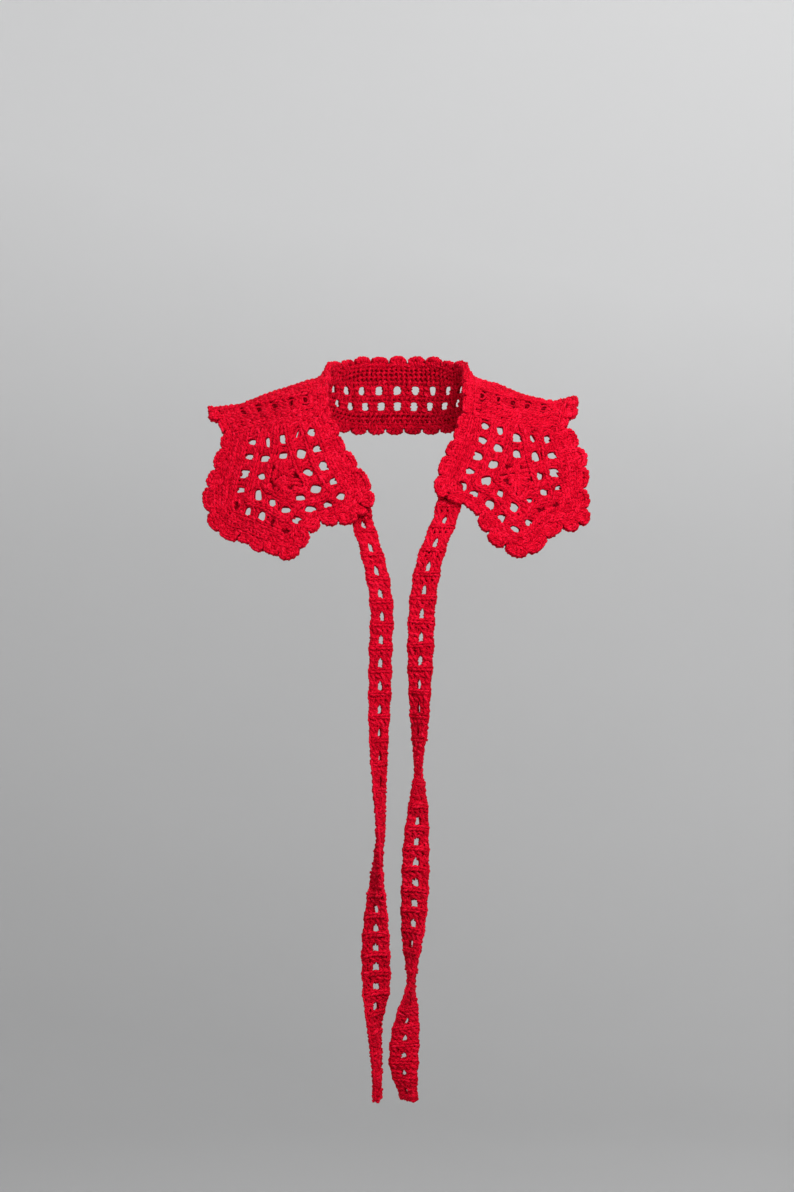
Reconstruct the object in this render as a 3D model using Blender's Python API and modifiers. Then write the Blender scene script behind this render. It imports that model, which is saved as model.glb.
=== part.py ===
"""Crocheted lace collar with two long ties, hollow as if worn.

Metres, +Z up, the front faces -Y. The origin is the middle of the neck opening,
level with the base of the neck. All tables below are in millimetres.

The cloth lies on one smooth sheet, the shoulders of a general figure, given by
the rows of SECTIONS: each row is a cut across the shoulder, with a ridge and a
rounded fall to the front and to the back. Round the nape the sheet rises to
stand against the neck. Every piece of the collar is an open surface on that
sheet, thickened to a wall.
"""

import math
from collections import namedtuple

import bmesh
import bpy
import numpy as np
from mathutils import Vector

MM = 0.001
WALL = 2.6          # thickness of the crocheted cloth
TIE_WALL = 2.8      # thickness of the ties
SEAM = 0.45         # gap between neighbouring pieces
EDGING = 12.0       # width of the shell edging at the hollows between shells
SHELL_RISE = 3.5    # how far a shell's crown stands beyond those hollows
SHELL_PITCH = 17.0  # one shell along the edge
NAPE_LIFT = 42.0    # height of the standing part round the nape
NAPE_NEAR, NAPE_FAR = 54.0, 80.0   # radii between which it falls away
NAPE_FRONT, NAPE_BACK = -18.0, 27.0  # depths between which it rises
BACK_HEM = -20.0    # height of the back yoke's lower edge in the middle
BACK_HEM_SIDE = -12.0   # and towards the shoulders
BACK_END_DROP = 7.0     # its least drop below the shoulder's ridge
BACK_HALF_WIDTH = 157.0

Section = namedtuple("Section", "x ridge_z front_y back_y front_round front_slope back_round back_slope")
SECTIONS = [
    Section(0, 24, 5, 50, 22, 0.30, 8, 0.25),
    Section(30, 22, 5, 46, 22, 0.30, 9, 0.25),
    Section(55, 19, 5, 32, 22, 0.30, 12, 0.25),
    Section(75, 17, 5, 14, 22, 0.30, 16, 0.25),
    Section(95, 12, 4, 6, 22, 0.30, 18, 0.25),
    Section(125, 2.5, 4, 5, 20, 0.29, 17, 0.22),
    Section(155, -6, 5, 6, 15, 0.25, 14, 0.18),
    Section(190, -9, 6, 8, 10, 0.20, 12, 0.15),
]
END_TILT = 4.0      # the +X shoulder end stands higher than the -X one by twice this

# Edges of the two front panels' mesh, without the edging, seen from the front.
Point = namedtuple("Point", "x z")
RIGHT_INNER = [Point(76, -25), Point(72, -37), Point(67, -50), Point(60, -64), Point(53.5, -79), Point(50.5, -91), Point(53.5, -98)]
RIGHT_BOTTOM = [Point(53.5, -98), Point(63, -103), Point(74.5, -108), Point(84.5, -116), Point(92, -128.5), Point(100, -139),
                Point(111, -145.5), Point(120.5, -148.5), Point(129.5, -145.5), Point(136.5, -136.5), Point(144.5, -128),
                Point(158.5, -123.5), Point(172, -121.5)]
RIGHT_OUTER = [Point(158, -38), Point(164.5, -50), Point(171, -62.5), Point(174.5, -76), Point(175, -90), Point(175.5, -102.5), Point(176, -114), Point(172, -121.5)]
LEFT_INNER = [Point(-76.5, -28), Point(-70.5, -39.5), Point(-63.5, -55), Point(-56.5, -67.5), Point(-49.5, -79.5), Point(-40.5, -94), Point(-37, -103.5), Point(-39, -109)]
LEFT_BOTTOM = [Point(-39, -109), Point(-50, -117.5), Point(-62, -120), Point(-75, -119.5), Point(-85, -125), Point(-94, -133.5),
               Point(-100.5, -147), Point(-107.5, -153), Point(-115, -149), Point(-130.5, -144.5), Point(-143.5, -137.5),
               Point(-156.5, -133.5), Point(-166, -129), Point(-173, -123.5)]
LEFT_OUTER = [Point(-161, -40), Point(-162.5, -52), Point(-167, -65.5), Point(-172.5, -79), Point(-177, -92.5), Point(-176.5, -104), Point(-175, -118), Point(-173, -123.5)]

# The ends of a shoulder band in plan, from the front panel's top over the ridge to the back.
Plan = namedtuple("Plan", "x y")
BAND_NECK = [Plan(78.5, -20), Plan(78.5, -4), Plan(74.5, 12), Plan(67.5, 27)]
RIGHT_BAND_OUTER = [Plan(161, -18), Plan(165, -9), Plan(167.5, 0), Plan(168, 10)]
LEFT_BAND_OUTER = [Plan(166, -18), Plan(171.5, -9), Plan(174.5, 0), Plan(174.5, 10)]
# The back yoke's upper edge round the nape, in plan.
NAPE = [Plan(67.5, 27), Plan(59.5, 40), Plan(45, 52), Plan(24, 62.5), Plan(0, 66)]

# The two ties: height, place, width, and how far the ribbon has turned about its length.
TieCut = namedtuple("TieCut", "z x y width turn")
TIE_LEFT = [
    TieCut(-115, -36.5, -74.5, 21, 8), TieCut(-125, -34.5, -78, 21, 8), TieCut(-135, -31.5, -87, 21, 8), TieCut(-153, -26, -98.5, 21, 8), TieCut(-174, -20.5, -107, 22, 8),
    TieCut(-195, -16.5, -110, 22, 10), TieCut(-219, -14.5, -112, 22, 10), TieCut(-242, -15.5, -113, 22, 8),
    TieCut(-288, -16.5, -114, 22, 14), TieCut(-333, -17.5, -114, 22, 36), TieCut(-381, -17, -114, 22, 60),
    TieCut(-429, -16, -113, 22, 92), TieCut(-464, -19, -113, 23, 127), TieCut(-502, -20, -113, 25, 152),
    TieCut(-540, -20.5, -113, 27, 172), TieCut(-576, -20, -113, 27, 194), TieCut(-608, -21.5, -113, 26, 237),
    TieCut(-650, -19.5, -113, 25, 256), TieCut(-684, -19, -113, 24, 262),
]
TIE_RIGHT = [
    TieCut(-105, 51.5, -70, 23, -8), TieCut(-115, 49.5, -75, 24, -8), TieCut(-126, 46.5, -84.5, 24, -6), TieCut(-148, 37.5, -97, 24, -4), TieCut(-168, 31, -105, 25, -2),
    TieCut(-189, 27, -109, 25, 0), TieCut(-214, 24, -111, 25, 0), TieCut(-239, 23, -112, 25, 0),
    TieCut(-285, 22, -113, 24, -28), TieCut(-331, 21.5, -113, 24, -56), TieCut(-363, 20.5, -113, 24, -88),
    TieCut(-399, 20.5, -113, 25, -132), TieCut(-438, 18.5, -113, 26, -158), TieCut(-478, 17.5, -113, 26, -182),
    TieCut(-518, 15.5, -113, 26, -212), TieCut(-545, 14, -113, 26, -240), TieCut(-572, 13.5, -113, 26, -272),
    TieCut(-593, 11, -113, 27, -306), TieCut(-627, 7.5, -113, 28, -348), TieCut(-649, 6.5, -113, 28, -366),
    TieCut(-666, 8, -113, 27, -394), TieCut(-684, 12, -113, 26, -418),
]

# How finely each piece is cut into rows and columns.
FRONT_ACROSS, FRONT_DOWN = 14, 13
BAND_ACROSS, BAND_OVER = 10, 8
NAPE_ACROSS, BACK_DOWN = 12, 6
SHELL_CUTS = 4      # cuts for each shell along the edging
CORNER = math.radians(40)   # a sharper turn of the edge than this is a corner
TIE_CUTS = 46


def table(rows, at, key, value):
    """Smooth value of one column of a table at a place in another column."""
    places = np.array([getattr(row, key) for row in rows], float)
    values = np.array([getattr(row, value) for row in rows], float)
    if places[0] > places[-1]:
        places, values = places[::-1], values[::-1]
    at = np.clip(at, places[0], places[-1])
    slopes = np.gradient(values, places)
    i = np.clip(np.searchsorted(places, at) - 1, 0, len(places) - 2)
    step = places[i + 1] - places[i]
    t = (at - places[i]) / step
    return ((1 + 2 * t) * (1 - t) ** 2 * values[i] + t * (1 - t) ** 2 * step * slopes[i]
            + t * t * (3 - 2 * t) * values[i + 1] - t * t * (1 - t) * step * slopes[i + 1])


def ease(low, high, x):
    t = min(max((x - low) / (high - low), 0.0), 1.0)
    return t * t * (3 - 2 * t)


def section(x):
    cut = Section(x, *(float(table(SECTIONS, abs(x), "x", name)) for name in Section._fields[1:]))
    tilt = math.copysign(END_TILT, x) * ease(110, 185, abs(x))
    return cut._replace(ridge_z=cut.ridge_z + tilt)


def fall(distance, rounding, slope):
    """Drop of the sheet at a distance in front of or behind its ridge: round first, then a straight slope."""
    return (math.sqrt(rounding ** 2 + (slope * distance) ** 2) - rounding) / slope ** 2


def height(x, y):
    """Height of the sheet over a point of the plan."""
    cut = section(x)
    z = cut.ridge_z
    z -= fall(max(0.0, cut.front_y - y), cut.front_round, cut.front_slope)
    z -= fall(max(0.0, y - cut.back_y), cut.back_round, cut.back_slope)
    near = 1 - ease(NAPE_NEAR, NAPE_FAR, math.hypot(x, y))
    return z + NAPE_LIFT * near * ease(NAPE_FRONT, NAPE_BACK, y)


def on_front(x, z):
    """Point of the sheet's front at a place seen from the front."""
    cut = section(x)
    drop = max(0.5, cut.ridge_z - z)
    reach = math.sqrt(2 * cut.front_round * drop + (cut.front_slope * drop) ** 2)
    return Vector((x, cut.front_y - reach, z))


def on_back(x, z):
    cut = section(x)
    drop = max(0.5, cut.ridge_z - z)
    reach = math.sqrt(2 * cut.back_round * drop + (cut.back_slope * drop) ** 2)
    return Vector((x, cut.back_y + reach, z))


def on_plan(x, y):
    return Vector((x, y, height(x, y)))


def normal(point):
    """Outward direction of the sheet at a point."""
    x, y = point.x, point.y
    step = 0.5
    slope_x = (height(x + step, y) - height(x - step, y)) / (2 * step)
    slope_y = (height(x, y + step) - height(x, y - step)) / (2 * step)
    return Vector((-slope_x, -slope_y, 1)).normalized()


def curve_through(points, count):
    """Points evenly spaced by length along a smooth curve through the given ones."""
    points = np.array([tuple(p) for p in points], float)
    gaps = np.linalg.norm(np.diff(points, axis=0), axis=1)
    places = np.concatenate([[0], np.cumsum(gaps)])
    slopes = np.gradient(points, places, axis=0)
    fine = []
    for i, gap in enumerate(gaps):
        for t in np.arange(0, 1, 0.05):
            fine.append((1 + 2 * t) * (1 - t) ** 2 * points[i] + t * (1 - t) ** 2 * gap * slopes[i]
                        + t * t * (3 - 2 * t) * points[i + 1] - t * t * (1 - t) * gap * slopes[i + 1])
    fine.append(points[-1])
    return spaced(fine, count)


def spaced(points, count):
    points = np.array([tuple(p) for p in points], float)
    lengths = np.concatenate([[0], np.cumsum(np.linalg.norm(np.diff(points, axis=0), axis=1))])
    at = np.linspace(0, lengths[-1], count)
    return [Vector([float(np.interp(a, lengths, points[:, k])) for k in range(points.shape[1])]) for a in at]


def front_panel_grid(inner, bottom, outer):
    """Rows of points, from the band down to the bottom edge, blended between the four edges."""
    left = curve_through(inner, FRONT_DOWN + 1)
    right = curve_through(outer, FRONT_DOWN + 1)
    low = curve_through(bottom, FRONT_ACROSS + 1)
    top = [left[0].lerp(right[0], i / FRONT_ACROSS) for i in range(FRONT_ACROSS + 1)]
    rows = []
    for j in range(FRONT_DOWN + 1):
        v = j / FRONT_DOWN
        row = []
        for i in range(FRONT_ACROSS + 1):
            u = i / FRONT_ACROSS
            p = (top[i] * (1 - v) + low[i] * v + left[j] * (1 - u) + right[j] * u
                 - left[0] * (1 - u) * (1 - v) - right[0] * u * (1 - v) - left[-1] * (1 - u) * v - right[-1] * u * v)
            row.append(on_front(p[0], p[1]))
        rows.append(row)
    return rows


def over_shoulder(start, plan_points, count):
    """A line on the sheet from a point of its front over the ridge, evenly spaced by length."""
    places = [(start.x, start.y)] + [(p.x, p.y) for p in plan_points]
    plan = curve_through(places, 61)
    return spaced([on_plan(p[0], p[1]) for p in plan], count)


def band_grid(top_row, outer_ends, side):
    """Rows of a shoulder band, from the front panel's top edge to the band's edge behind the ridge."""
    inner, outer = top_row[0], top_row[-1]
    columns = []
    for i in range(BAND_ACROSS + 1):
        u = i / BAND_ACROSS
        start = inner.lerp(outer, u)
        start = on_front(start.x, start.z)
        plan = [Plan(side * ((1 - u) * a.x + u * b.x), (1 - u) * a.y + u * b.y) for a, b in zip(BAND_NECK, outer_ends)]
        columns.append(over_shoulder(start, plan, BAND_OVER + 1))
    return [[columns[i][j] for i in range(BAND_ACROSS + 1)] for j in range(BAND_OVER + 1)]


def back_grid(left_edge, right_edge):
    """Rows of the back yoke, from the bands' rear edges and the nape down to its hem."""
    nape = [(-p.x, p.y) for p in NAPE] + [(p.x, p.y) for p in NAPE[-2::-1]]
    nape = [on_plan(p[0], p[1]) for p in curve_through(nape, NAPE_ACROSS + 1)]
    top = left_edge[::-1] + nape[1:-1] + right_edge
    columns = []
    for p in top:
        hem_x = p.x * BACK_HALF_WIDTH / RIGHT_BAND_OUTER[-1].x
        hem = BACK_HEM + (BACK_HEM_SIDE - BACK_HEM) * ease(40, 85, abs(hem_x))
        end = on_back(hem_x, min(hem, section(hem_x).ridge_z - BACK_END_DROP))
        line = [p] + [on_plan(p.x + (end.x - p.x) * t, p.y + (end.y - p.y) * t) for t in np.linspace(0, 1, 61)[1:]]
        columns.append(spaced(line, BACK_DOWN + 1))
    return [[column[j] for column in columns] for j in range(BACK_DOWN + 1)]


def pull_in(rows, top=0.0, bottom=0.0, first=0.0, last=0.0):
    """Moves the edges of a grid inwards along the cloth, which leaves the seams open."""
    rows = [[p.copy() for p in row] for row in rows]
    for edge, inside, amount in ((rows[0], rows[1], top), (rows[-1], rows[-2], bottom)):
        for p, q in zip(edge, inside):
            p += (q - p).normalized() * amount
    for row in rows:
        row[0] += (row[1] - row[0]).normalized() * first
        row[-1] += (row[-2] - row[-1]).normalized() * last
    return rows


def edging_rows(base, start_along=None, end_along=None):
    """The two edges of a shell edging, outwards from the cloth's edge. The base runs with the cloth on its left, seen from outside.

    The inner edge keeps the cloth's own corners, so that the seam stays open, and at a sharp corner the shell fans out.
    """
    base = [p for p, q in zip(base, base[1:] + [None]) if q is None or (q - p).length > 0.2]
    length = sum((b - a).length for a, b in zip(base, base[1:]))
    shells = max(1, round(length / SHELL_PITCH))
    places = []
    run = 0.0
    for i, p in enumerate(base):
        before = (p - base[i - 1]).normalized() if i else None
        after = (base[i + 1] - p).normalized() if i + 1 < len(base) else None
        first, last = before or start_along or after, after or end_along or before
        if i == 0 and start_along:
            first = last = start_along
        if i == len(base) - 1 and end_along:
            first = last = end_along
        if first.angle(last) > CORNER:
            places += [(p, first, run), (p, (first + last).normalized(), run), (p, last, run)]
        else:
            places.append((p, (first + last).normalized(), run))
        if after:
            step = (base[i + 1] - p).length
            parts = max(1, round(step / (SHELL_PITCH / SHELL_CUTS)))
            for k in range(1, parts):
                places.append((p.lerp(base[i + 1], k / parts), after, run + step * k / parts))
            run += step
    near, far = [], []
    for p, along, at in places:
        out = along.cross(normal(p)).normalized()
        rise = EDGING + SHELL_RISE * abs(math.sin(math.pi * at * shells / length))
        near.append(p + out * SEAM)
        far.append(p + out * rise)
    return [near, far]


def tie_rows(cuts):
    """The two edges of a hanging ribbon that turns about its length."""
    line = curve_through([(c.x, c.y, c.z) for c in cuts], TIE_CUTS + 1)
    left, right = [], []
    for p in line:
        width = float(table(cuts, p.z, "z", "width"))
        turn = math.radians(float(table(cuts, p.z, "z", "turn")))
        side = Vector((math.cos(turn), math.sin(turn), 0))
        left.append(p - side * width / 2)
        right.append(p + side * width / 2)
    return [left, right]


def material(name, colour, roughness):
    made = bpy.data.materials.new(name)
    made.use_nodes = True
    shader = made.node_tree.nodes["Principled BSDF"]
    shader.inputs["Base Color"].default_value = (*colour, 1)
    shader.inputs["Roughness"].default_value = roughness
    shader.inputs["Metallic"].default_value = 0.0
    made.diffuse_color = (*colour, 1)
    return made


def cloth(name, rows, wall, colour, collection, parent):
    """One piece of cloth: an open surface through the rows, with a Solidify modifier as its wall."""
    mesh = bpy.data.meshes.new(name)
    surface = bmesh.new()
    grid = [[surface.verts.new(p * MM) for p in row] for row in rows]
    for upper, lower in zip(grid, grid[1:]):
        for i in range(len(upper) - 1):
            surface.faces.new((upper[i], lower[i], lower[i + 1], upper[i + 1]))
    bmesh.ops.recalc_face_normals(surface, faces=surface.faces)
    surface.to_mesh(mesh)
    surface.free()
    mesh.shade_smooth()
    piece = bpy.data.objects.new(name, mesh)
    collection.objects.link(piece)
    piece.parent = parent
    solidify = piece.modifiers.new("wall", "SOLIDIFY")
    solidify.thickness = wall * MM
    solidify.offset = 0.0
    solidify.use_quality_normals = True
    piece.data.materials.append(material(name + "_yarn", colour, 0.85))
    return piece


def make_collar():
    for old in list(bpy.data.objects):
        bpy.data.objects.remove(old, do_unlink=True)
    collection = bpy.data.collections.new("lace_collar")
    bpy.context.scene.collection.children.link(collection)
    root = bpy.data.objects.new("lace_collar_origin", None)
    collection.objects.link(root)

    red, deep_red = (0.56, 0.004, 0.018), (0.40, 0.002, 0.012)
    neck_base, panels = {}, {}
    for side, name, inner, bottom, outer, ends in (
            (-1, "left", LEFT_INNER, LEFT_BOTTOM, LEFT_OUTER, LEFT_BAND_OUTER),
            (1, "right", RIGHT_INNER, RIGHT_BOTTOM, RIGHT_OUTER, RIGHT_BAND_OUTER)):
        front = front_panel_grid(inner, bottom, outer)
        band = band_grid(front[0], ends, side)
        cloth("front_panel_" + name, pull_in(front, top=SEAM / 2), WALL, red, collection, root)
        cloth("shoulder_band_" + name, pull_in(band, top=SEAM / 2, bottom=SEAM / 2), WALL, red, collection, root)
        panels[name] = front, band
        neck_base[name] = [row[0] for row in front[::-1]] + [row[0] for row in band[1:]]
    back = back_grid(panels["left"][1][-1], panels["right"][1][-1])
    cloth("back_yoke", pull_in(back, top=SEAM / 2), WALL, deep_red, collection, root)

    # One shell edging runs up the left front, round the nape and down the right front.
    nape = back[0][BAND_ACROSS + 1:-BAND_ACROSS - 1]
    neck = neck_base["left"] + nape + neck_base["right"][::-1]
    corner = {}
    for name, sign in (("left", 1), ("right", -1)):
        front, _ = panels[name]
        up = (front[-2][0] - front[-1][0]).normalized()
        across = (front[-1][1] - front[-1][0]).normalized()
        corner[name] = (up - across).normalized() * sign
    rows = edging_rows(neck, start_along=corner["left"], end_along=corner["right"])
    trim_end(rows, SEAM / 2)
    cloth("neck_edging", rows, WALL, red, collection, root)

    # Each side has one more, from the inner corner round the bottom and up over the shoulder's end.
    back_side = {"left": [row[0] for row in back], "right": [row[-1] for row in back]}
    for name in ("left", "right"):
        front, band = panels[name]
        base = front[-1][:] + [row[-1] for row in front[-2::-1]] + [row[-1] for row in band[1:]]
        if name == "left":
            rows = edging_rows(base[::-1], end_along=corner["left"])
        else:
            rows = edging_rows(base, start_along=corner["right"])
        trim_end(rows, SEAM / 2)
        cloth("outer_edging_" + name, rows, WALL, red, collection, root)

    base = back_side["right"] + back[-1][-2:0:-1] + back_side["left"][::-1]
    rows = edging_rows(base)
    trim_end(rows, SEAM / 2)
    cloth("back_edging", rows, WALL, deep_red, collection, root)

    cloth("tie_left", tie_rows(TIE_LEFT), TIE_WALL, red, collection, root)
    cloth("tie_right", tie_rows(TIE_RIGHT), TIE_WALL, red, collection, root)
    bpy.context.view_layer.update()


def trim_end(rows, amount):
    """Shortens a strip at both ends."""
    for row in rows:
        row[0] += (row[1] - row[0]).normalized() * amount
        row[-1] += (row[-2] - row[-1]).normalized() * amount


make_collar()
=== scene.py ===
"""Looks of the crocheted lace collar: the yarn of every stitch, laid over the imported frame.

The cloth lies on the same smooth sheet as the CAD, and all tables and lengths below are
in millimetres in the CAD's frame. Each piece of the collar is a thin ground with real
openings, and the stitches stand on both of its faces as tubes of yarn: posts (two
twisted legs with a wrap), braids (the row of V links along the top of a row) and the
fans of the shell edging.
"""

import math

import bpy
import numpy as np
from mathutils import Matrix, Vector
from mathutils.geometry import delaunay_2d_cdt


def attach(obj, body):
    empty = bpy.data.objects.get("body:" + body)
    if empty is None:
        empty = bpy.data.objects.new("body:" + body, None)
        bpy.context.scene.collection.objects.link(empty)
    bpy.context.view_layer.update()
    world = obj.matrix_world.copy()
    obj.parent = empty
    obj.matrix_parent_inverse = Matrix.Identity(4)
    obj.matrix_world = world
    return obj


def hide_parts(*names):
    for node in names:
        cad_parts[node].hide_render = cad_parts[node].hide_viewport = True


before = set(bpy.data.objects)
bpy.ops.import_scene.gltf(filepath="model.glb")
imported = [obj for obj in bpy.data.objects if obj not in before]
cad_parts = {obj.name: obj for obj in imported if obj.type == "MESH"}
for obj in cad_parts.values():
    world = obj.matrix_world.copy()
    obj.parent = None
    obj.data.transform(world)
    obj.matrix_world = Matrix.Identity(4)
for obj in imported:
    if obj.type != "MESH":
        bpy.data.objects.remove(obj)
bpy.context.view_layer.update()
MM = 0.001
rng = np.random.default_rng(20)

# ---------------------------------------------------------------- the sheet of the CAD

END_TILT = 4.0
RIGHT_SAG = 3.0        # on the looks' right side the weight of the crochet lets the shoulder sink a little more
NAPE_LIFT = 42.0
NAPE_NEAR, NAPE_FAR = 54.0, 80.0
NAPE_FRONT, NAPE_BACK = -18.0, 27.0
BACK_HEM, BACK_HEM_SIDE, BACK_END_DROP = -20.0, -12.0, 7.0
BACK_HALF_WIDTH = 157.0
# x, ridge z, front y, back y, front rounding, front slope, back rounding, back slope
SECTIONS = np.array([
    (0, 24, 5, 50, 22, 0.30, 8, 0.25), (30, 22, 5, 46, 22, 0.30, 9, 0.25),
    (55, 19, 5, 32, 22, 0.30, 12, 0.25), (75, 17, 5, 14, 22, 0.30, 16, 0.25),
    (95, 12, 4, 6, 22, 0.30, 18, 0.25), (125, 2.5, 4, 5, 20, 0.29, 17, 0.22),
    (155, -6, 5, 6, 15, 0.25, 14, 0.18), (190, -9, 6, 8, 10, 0.20, 12, 0.15)], float)

RIGHT_INNER = [(76, -25), (72, -37), (67, -50), (60, -64), (53.5, -79), (50.5, -91), (53.5, -98)]
RIGHT_BOTTOM = [(53.5, -98), (63, -103), (74.5, -108), (84.5, -116), (92, -128.5), (100, -139), (111, -145.5),
                (120.5, -148.5), (129.5, -145.5), (136.5, -136.5), (144.5, -128), (158.5, -123.5), (172, -121.5)]
RIGHT_OUTER = [(158, -38), (164.5, -50), (171, -62.5), (174.5, -76), (175, -90), (175.5, -102.5), (176, -114),
               (172, -121.5)]
LEFT_INNER = [(-76.5, -28), (-70.5, -39.5), (-63.5, -55), (-56.5, -67.5), (-49.5, -79.5), (-40.5, -94),
              (-37, -103.5), (-39, -109)]
LEFT_BOTTOM = [(-39, -109), (-50, -117.5), (-62, -120), (-75, -119.5), (-85, -125), (-94, -133.5), (-100.5, -147),
               (-107.5, -153), (-115, -149), (-130.5, -144.5), (-143.5, -137.5), (-156.5, -133.5), (-166, -129),
               (-173, -123.5)]
LEFT_OUTER = [(-161, -40), (-162.5, -52), (-167, -65.5), (-172.5, -79), (-177, -92.5), (-176.5, -104),
              (-175, -118), (-173, -123.5)]
BAND_NECK = [(78.5, -20), (78.5, -4), (74.5, 12), (67.5, 27)]
RIGHT_BAND_OUTER = [(161, -18), (165, -9), (167.5, 0), (168, 10)]
LEFT_BAND_OUTER = [(166, -18), (171.5, -9), (174.5, 0), (174.5, 10)]
NAPE = [(67.5, 27), (59.5, 40), (45, 52), (24, 62.5), (0, 66)]

# The ties: z, x, y, width, turn in degrees.
TIE_LEFT = np.array([
    (-102, -38, -69.5, 20, 8), (-108.5, -37.3, -72, 20.5, 8), (-115, -36.5, -74.5, 21, 8), (-125, -34.5, -78, 21, 8), (-135, -31.5, -87, 21, 8), (-153, -26, -98.5, 21, 8),
    (-174, -20.5, -107, 22, 8), (-195, -16.5, -110, 22, 10), (-219, -14.5, -112, 22, 10), (-242, -15.5, -113, 22, 8),
    (-288, -16.5, -114, 22, 14), (-333, -17.5, -114, 22, 36), (-381, -17, -114, 22, 60), (-429, -16, -113, 22, 84),
    (-464, -19, -113, 23, 110), (-502, -20, -113, 25, 145), (-540, -20.5, -113, 27, 172), (-576, -20, -113, 27, 194),
    (-608, -21.5, -113, 26, 237), (-650, -19.5, -113, 25, 256), (-684, -19, -113, 24, 262)], float)
TIE_RIGHT = np.array([
    (-91, 54.5, -65, 20, -8), (-98, 53, -67.5, 21.5, -8), (-105, 51.5, -70, 23, -8), (-115, 49.5, -75, 24, -8), (-126, 46.5, -84.5, 24, -6), (-148, 37.5, -97, 24, -4),
    (-168, 31, -105, 25, -2), (-189, 27, -109, 25, 0), (-214, 24, -111, 25, 0), (-239, 23, -112, 25, 0),
    (-285, 22, -113, 24, -28), (-331, 21.5, -113, 24, -56), (-363, 20.5, -113, 24, -88), (-399, 20.5, -113, 25, -132),
    (-438, 18.5, -113, 26, -158), (-478, 17.5, -113, 26, -182), (-518, 15.5, -113, 26, -212),
    (-545, 14, -113, 26, -240), (-572, 13.5, -113, 26, -272), (-593, 11, -113, 27, -306), (-627, 7.5, -113, 28, -348),
    (-649, 6.5, -113, 28, -366), (-666, 8, -113, 27, -394), (-684, 12, -113, 26, -418)], float)

# Chart of one front panel. Its rows are nested U shapes round a short spine. Along a row the place
# runs 0-1 down the inner arm, 1-2 round the fan and 2-3 up the outer arm, and across the rows it runs
# from 0 at the spine to 1 at the panel's edge. Each opening: place along, place across, half its size
# in x, half its size in z, and how far it is turned in degrees. The ring's spots and the closed openings are pits:
# the posts stop short round them but the ground is not cut there, and its dark red shows in them as painted shade.
CHART_RIGHT = {
    "spine": ((117.8, -30.7), (117.6, -84.3)),
    "ladder": [(0.25, 3.9, 4.4), (0.56, 3.4, 3.7)],
    "ring": [(107.9, -73.4), (121.8, -73.3), (106.7, -88.4), (129.5, -86.2)],
    "closed": (1.83, 1.98),
    "rows": [
        [(.14, .36, 2.4, 3.7, 0), (.44, .335, 4.2, 3.4, 30), (.71, .37, 3.9, 3.9, 15), (.955, .465, 4.4, 4.1, -5),
         (1.24, .505, 2.6, 2.6, 30), (1.51, .49, 4.0, 3.4, 35), (1.78, .485, 2.1, 1.6, 0), (2.05, .465, 3.3, 2.5, 0),
         (2.245, .38, 3.1, 3.1, 20), (2.52, .325, 3.4, 4.4, -15), (2.81, .325, 1.8, 3.6, -20)],
        [(.09, .71, 3.6, 2.9, 35), (.30, .69, 4.4, 2.8, 25), (.54, .68, 5.0, 4.1, 15), (.765, .73, 4.4, 2.9, 25),
         (.97, .825, 3.5, 4.0, 10), (1.10, .845, 3.6, 3.4, 0), (1.25, .85, 4.2, 4.2, 20), (1.40, .80, 3.2, 3.7, 10),
         (1.54, .82, 4.2, 2.2, 30), (1.67, .755, 3.4, 2.7, 20), (1.83, .76, 3.6, 1.0, 5), (1.98, .74, 2.4, 1.5, 40),
         (2.22, .70, 3.2, 1.5, -12), (2.40, .655, 5.4, 4.2, 0), (2.63, .655, 4.5, 3.0, -5), (2.86, .67, 2.9, 3.5, -15)],
    ],
}
CHART_LEFT = {
    "spine": ((-112.8, -31.8), (-110.6, -87.4)),
    "ladder": [(0.25, 3.4, 4.2), (0.55, 3.6, 2.7)],
    "ring": [(-121.8, -76.3), (-98.5, -81.8), (-120.8, -92.4), (-103.6, -94.6)],
    "closed": (1.55, 1.67, 2.03),
    "rows": [
        [(.16, .335, 0.8, 3.2, 12), (.47, .325, 4.1, 4.1, 10), (.76, .355, 4.2, 2.9, 25), (.99, .435, 4.8, 3.5, 10),
         (1.27, .51, 4.0, 2.5, -8), (1.53, .45, 4.0, 2.4, 0), (1.75, .41, 3.0, 3.2, 0), (2.01, .40, 3.0, 5.2, 0),
         (2.25, .33, 2.8, 2.8, -20), (2.51, .29, 4.2, 2.9, 0), (2.77, .285, 1.8, 4.8, -8)],
        [(.13, .68, 3.0, 3.6, 20), (.36, .68, 4.2, 3.0, -15), (.60, .67, 5.0, 4.5, 0), (.81, .715, 4.2, 3.0, -15),
         (.99, .79, 4.6, 3.0, 20), (1.12, .79, 4.2, 3.0, 35), (1.27, .855, 5.4, 3.0, 8), (1.40, .84, 4.2, 2.8, 25),
         (1.55, .775, 2.1, 2.4, 0), (1.67, .715, 2.0, 4.0, 15), (1.78, .69, 3.1, 4.6, 15), (1.91, .70, 2.5, 4.6, 12),
         (2.03, .735, 2.0, 3.4, 10), (2.20, .66, 5.8, 2.3, 5), (2.40, .61, 6.4, 3.5, 0), (2.64, .605, 6.0, 2.2, 3),
         (2.85, .61, 4.0, 2.3, 15)],
    ],
}

YARN = 1.42         # radius of the yarn
GROUND = 0.35       # half thickness of the ground
STITCH = 4.8        # width of one stitch
LINK = 5.3          # length of one braid link
PITCH = 18.6        # from one row of openings to the next


def unit(a):
    return a / np.maximum(np.linalg.norm(a, axis=-1, keepdims=True), 1e-9)


def smooth(low, high, x):
    t = np.clip((np.asarray(x, float) - low) / (high - low), 0, 1)
    return t * t * (3 - 2 * t)


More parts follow.
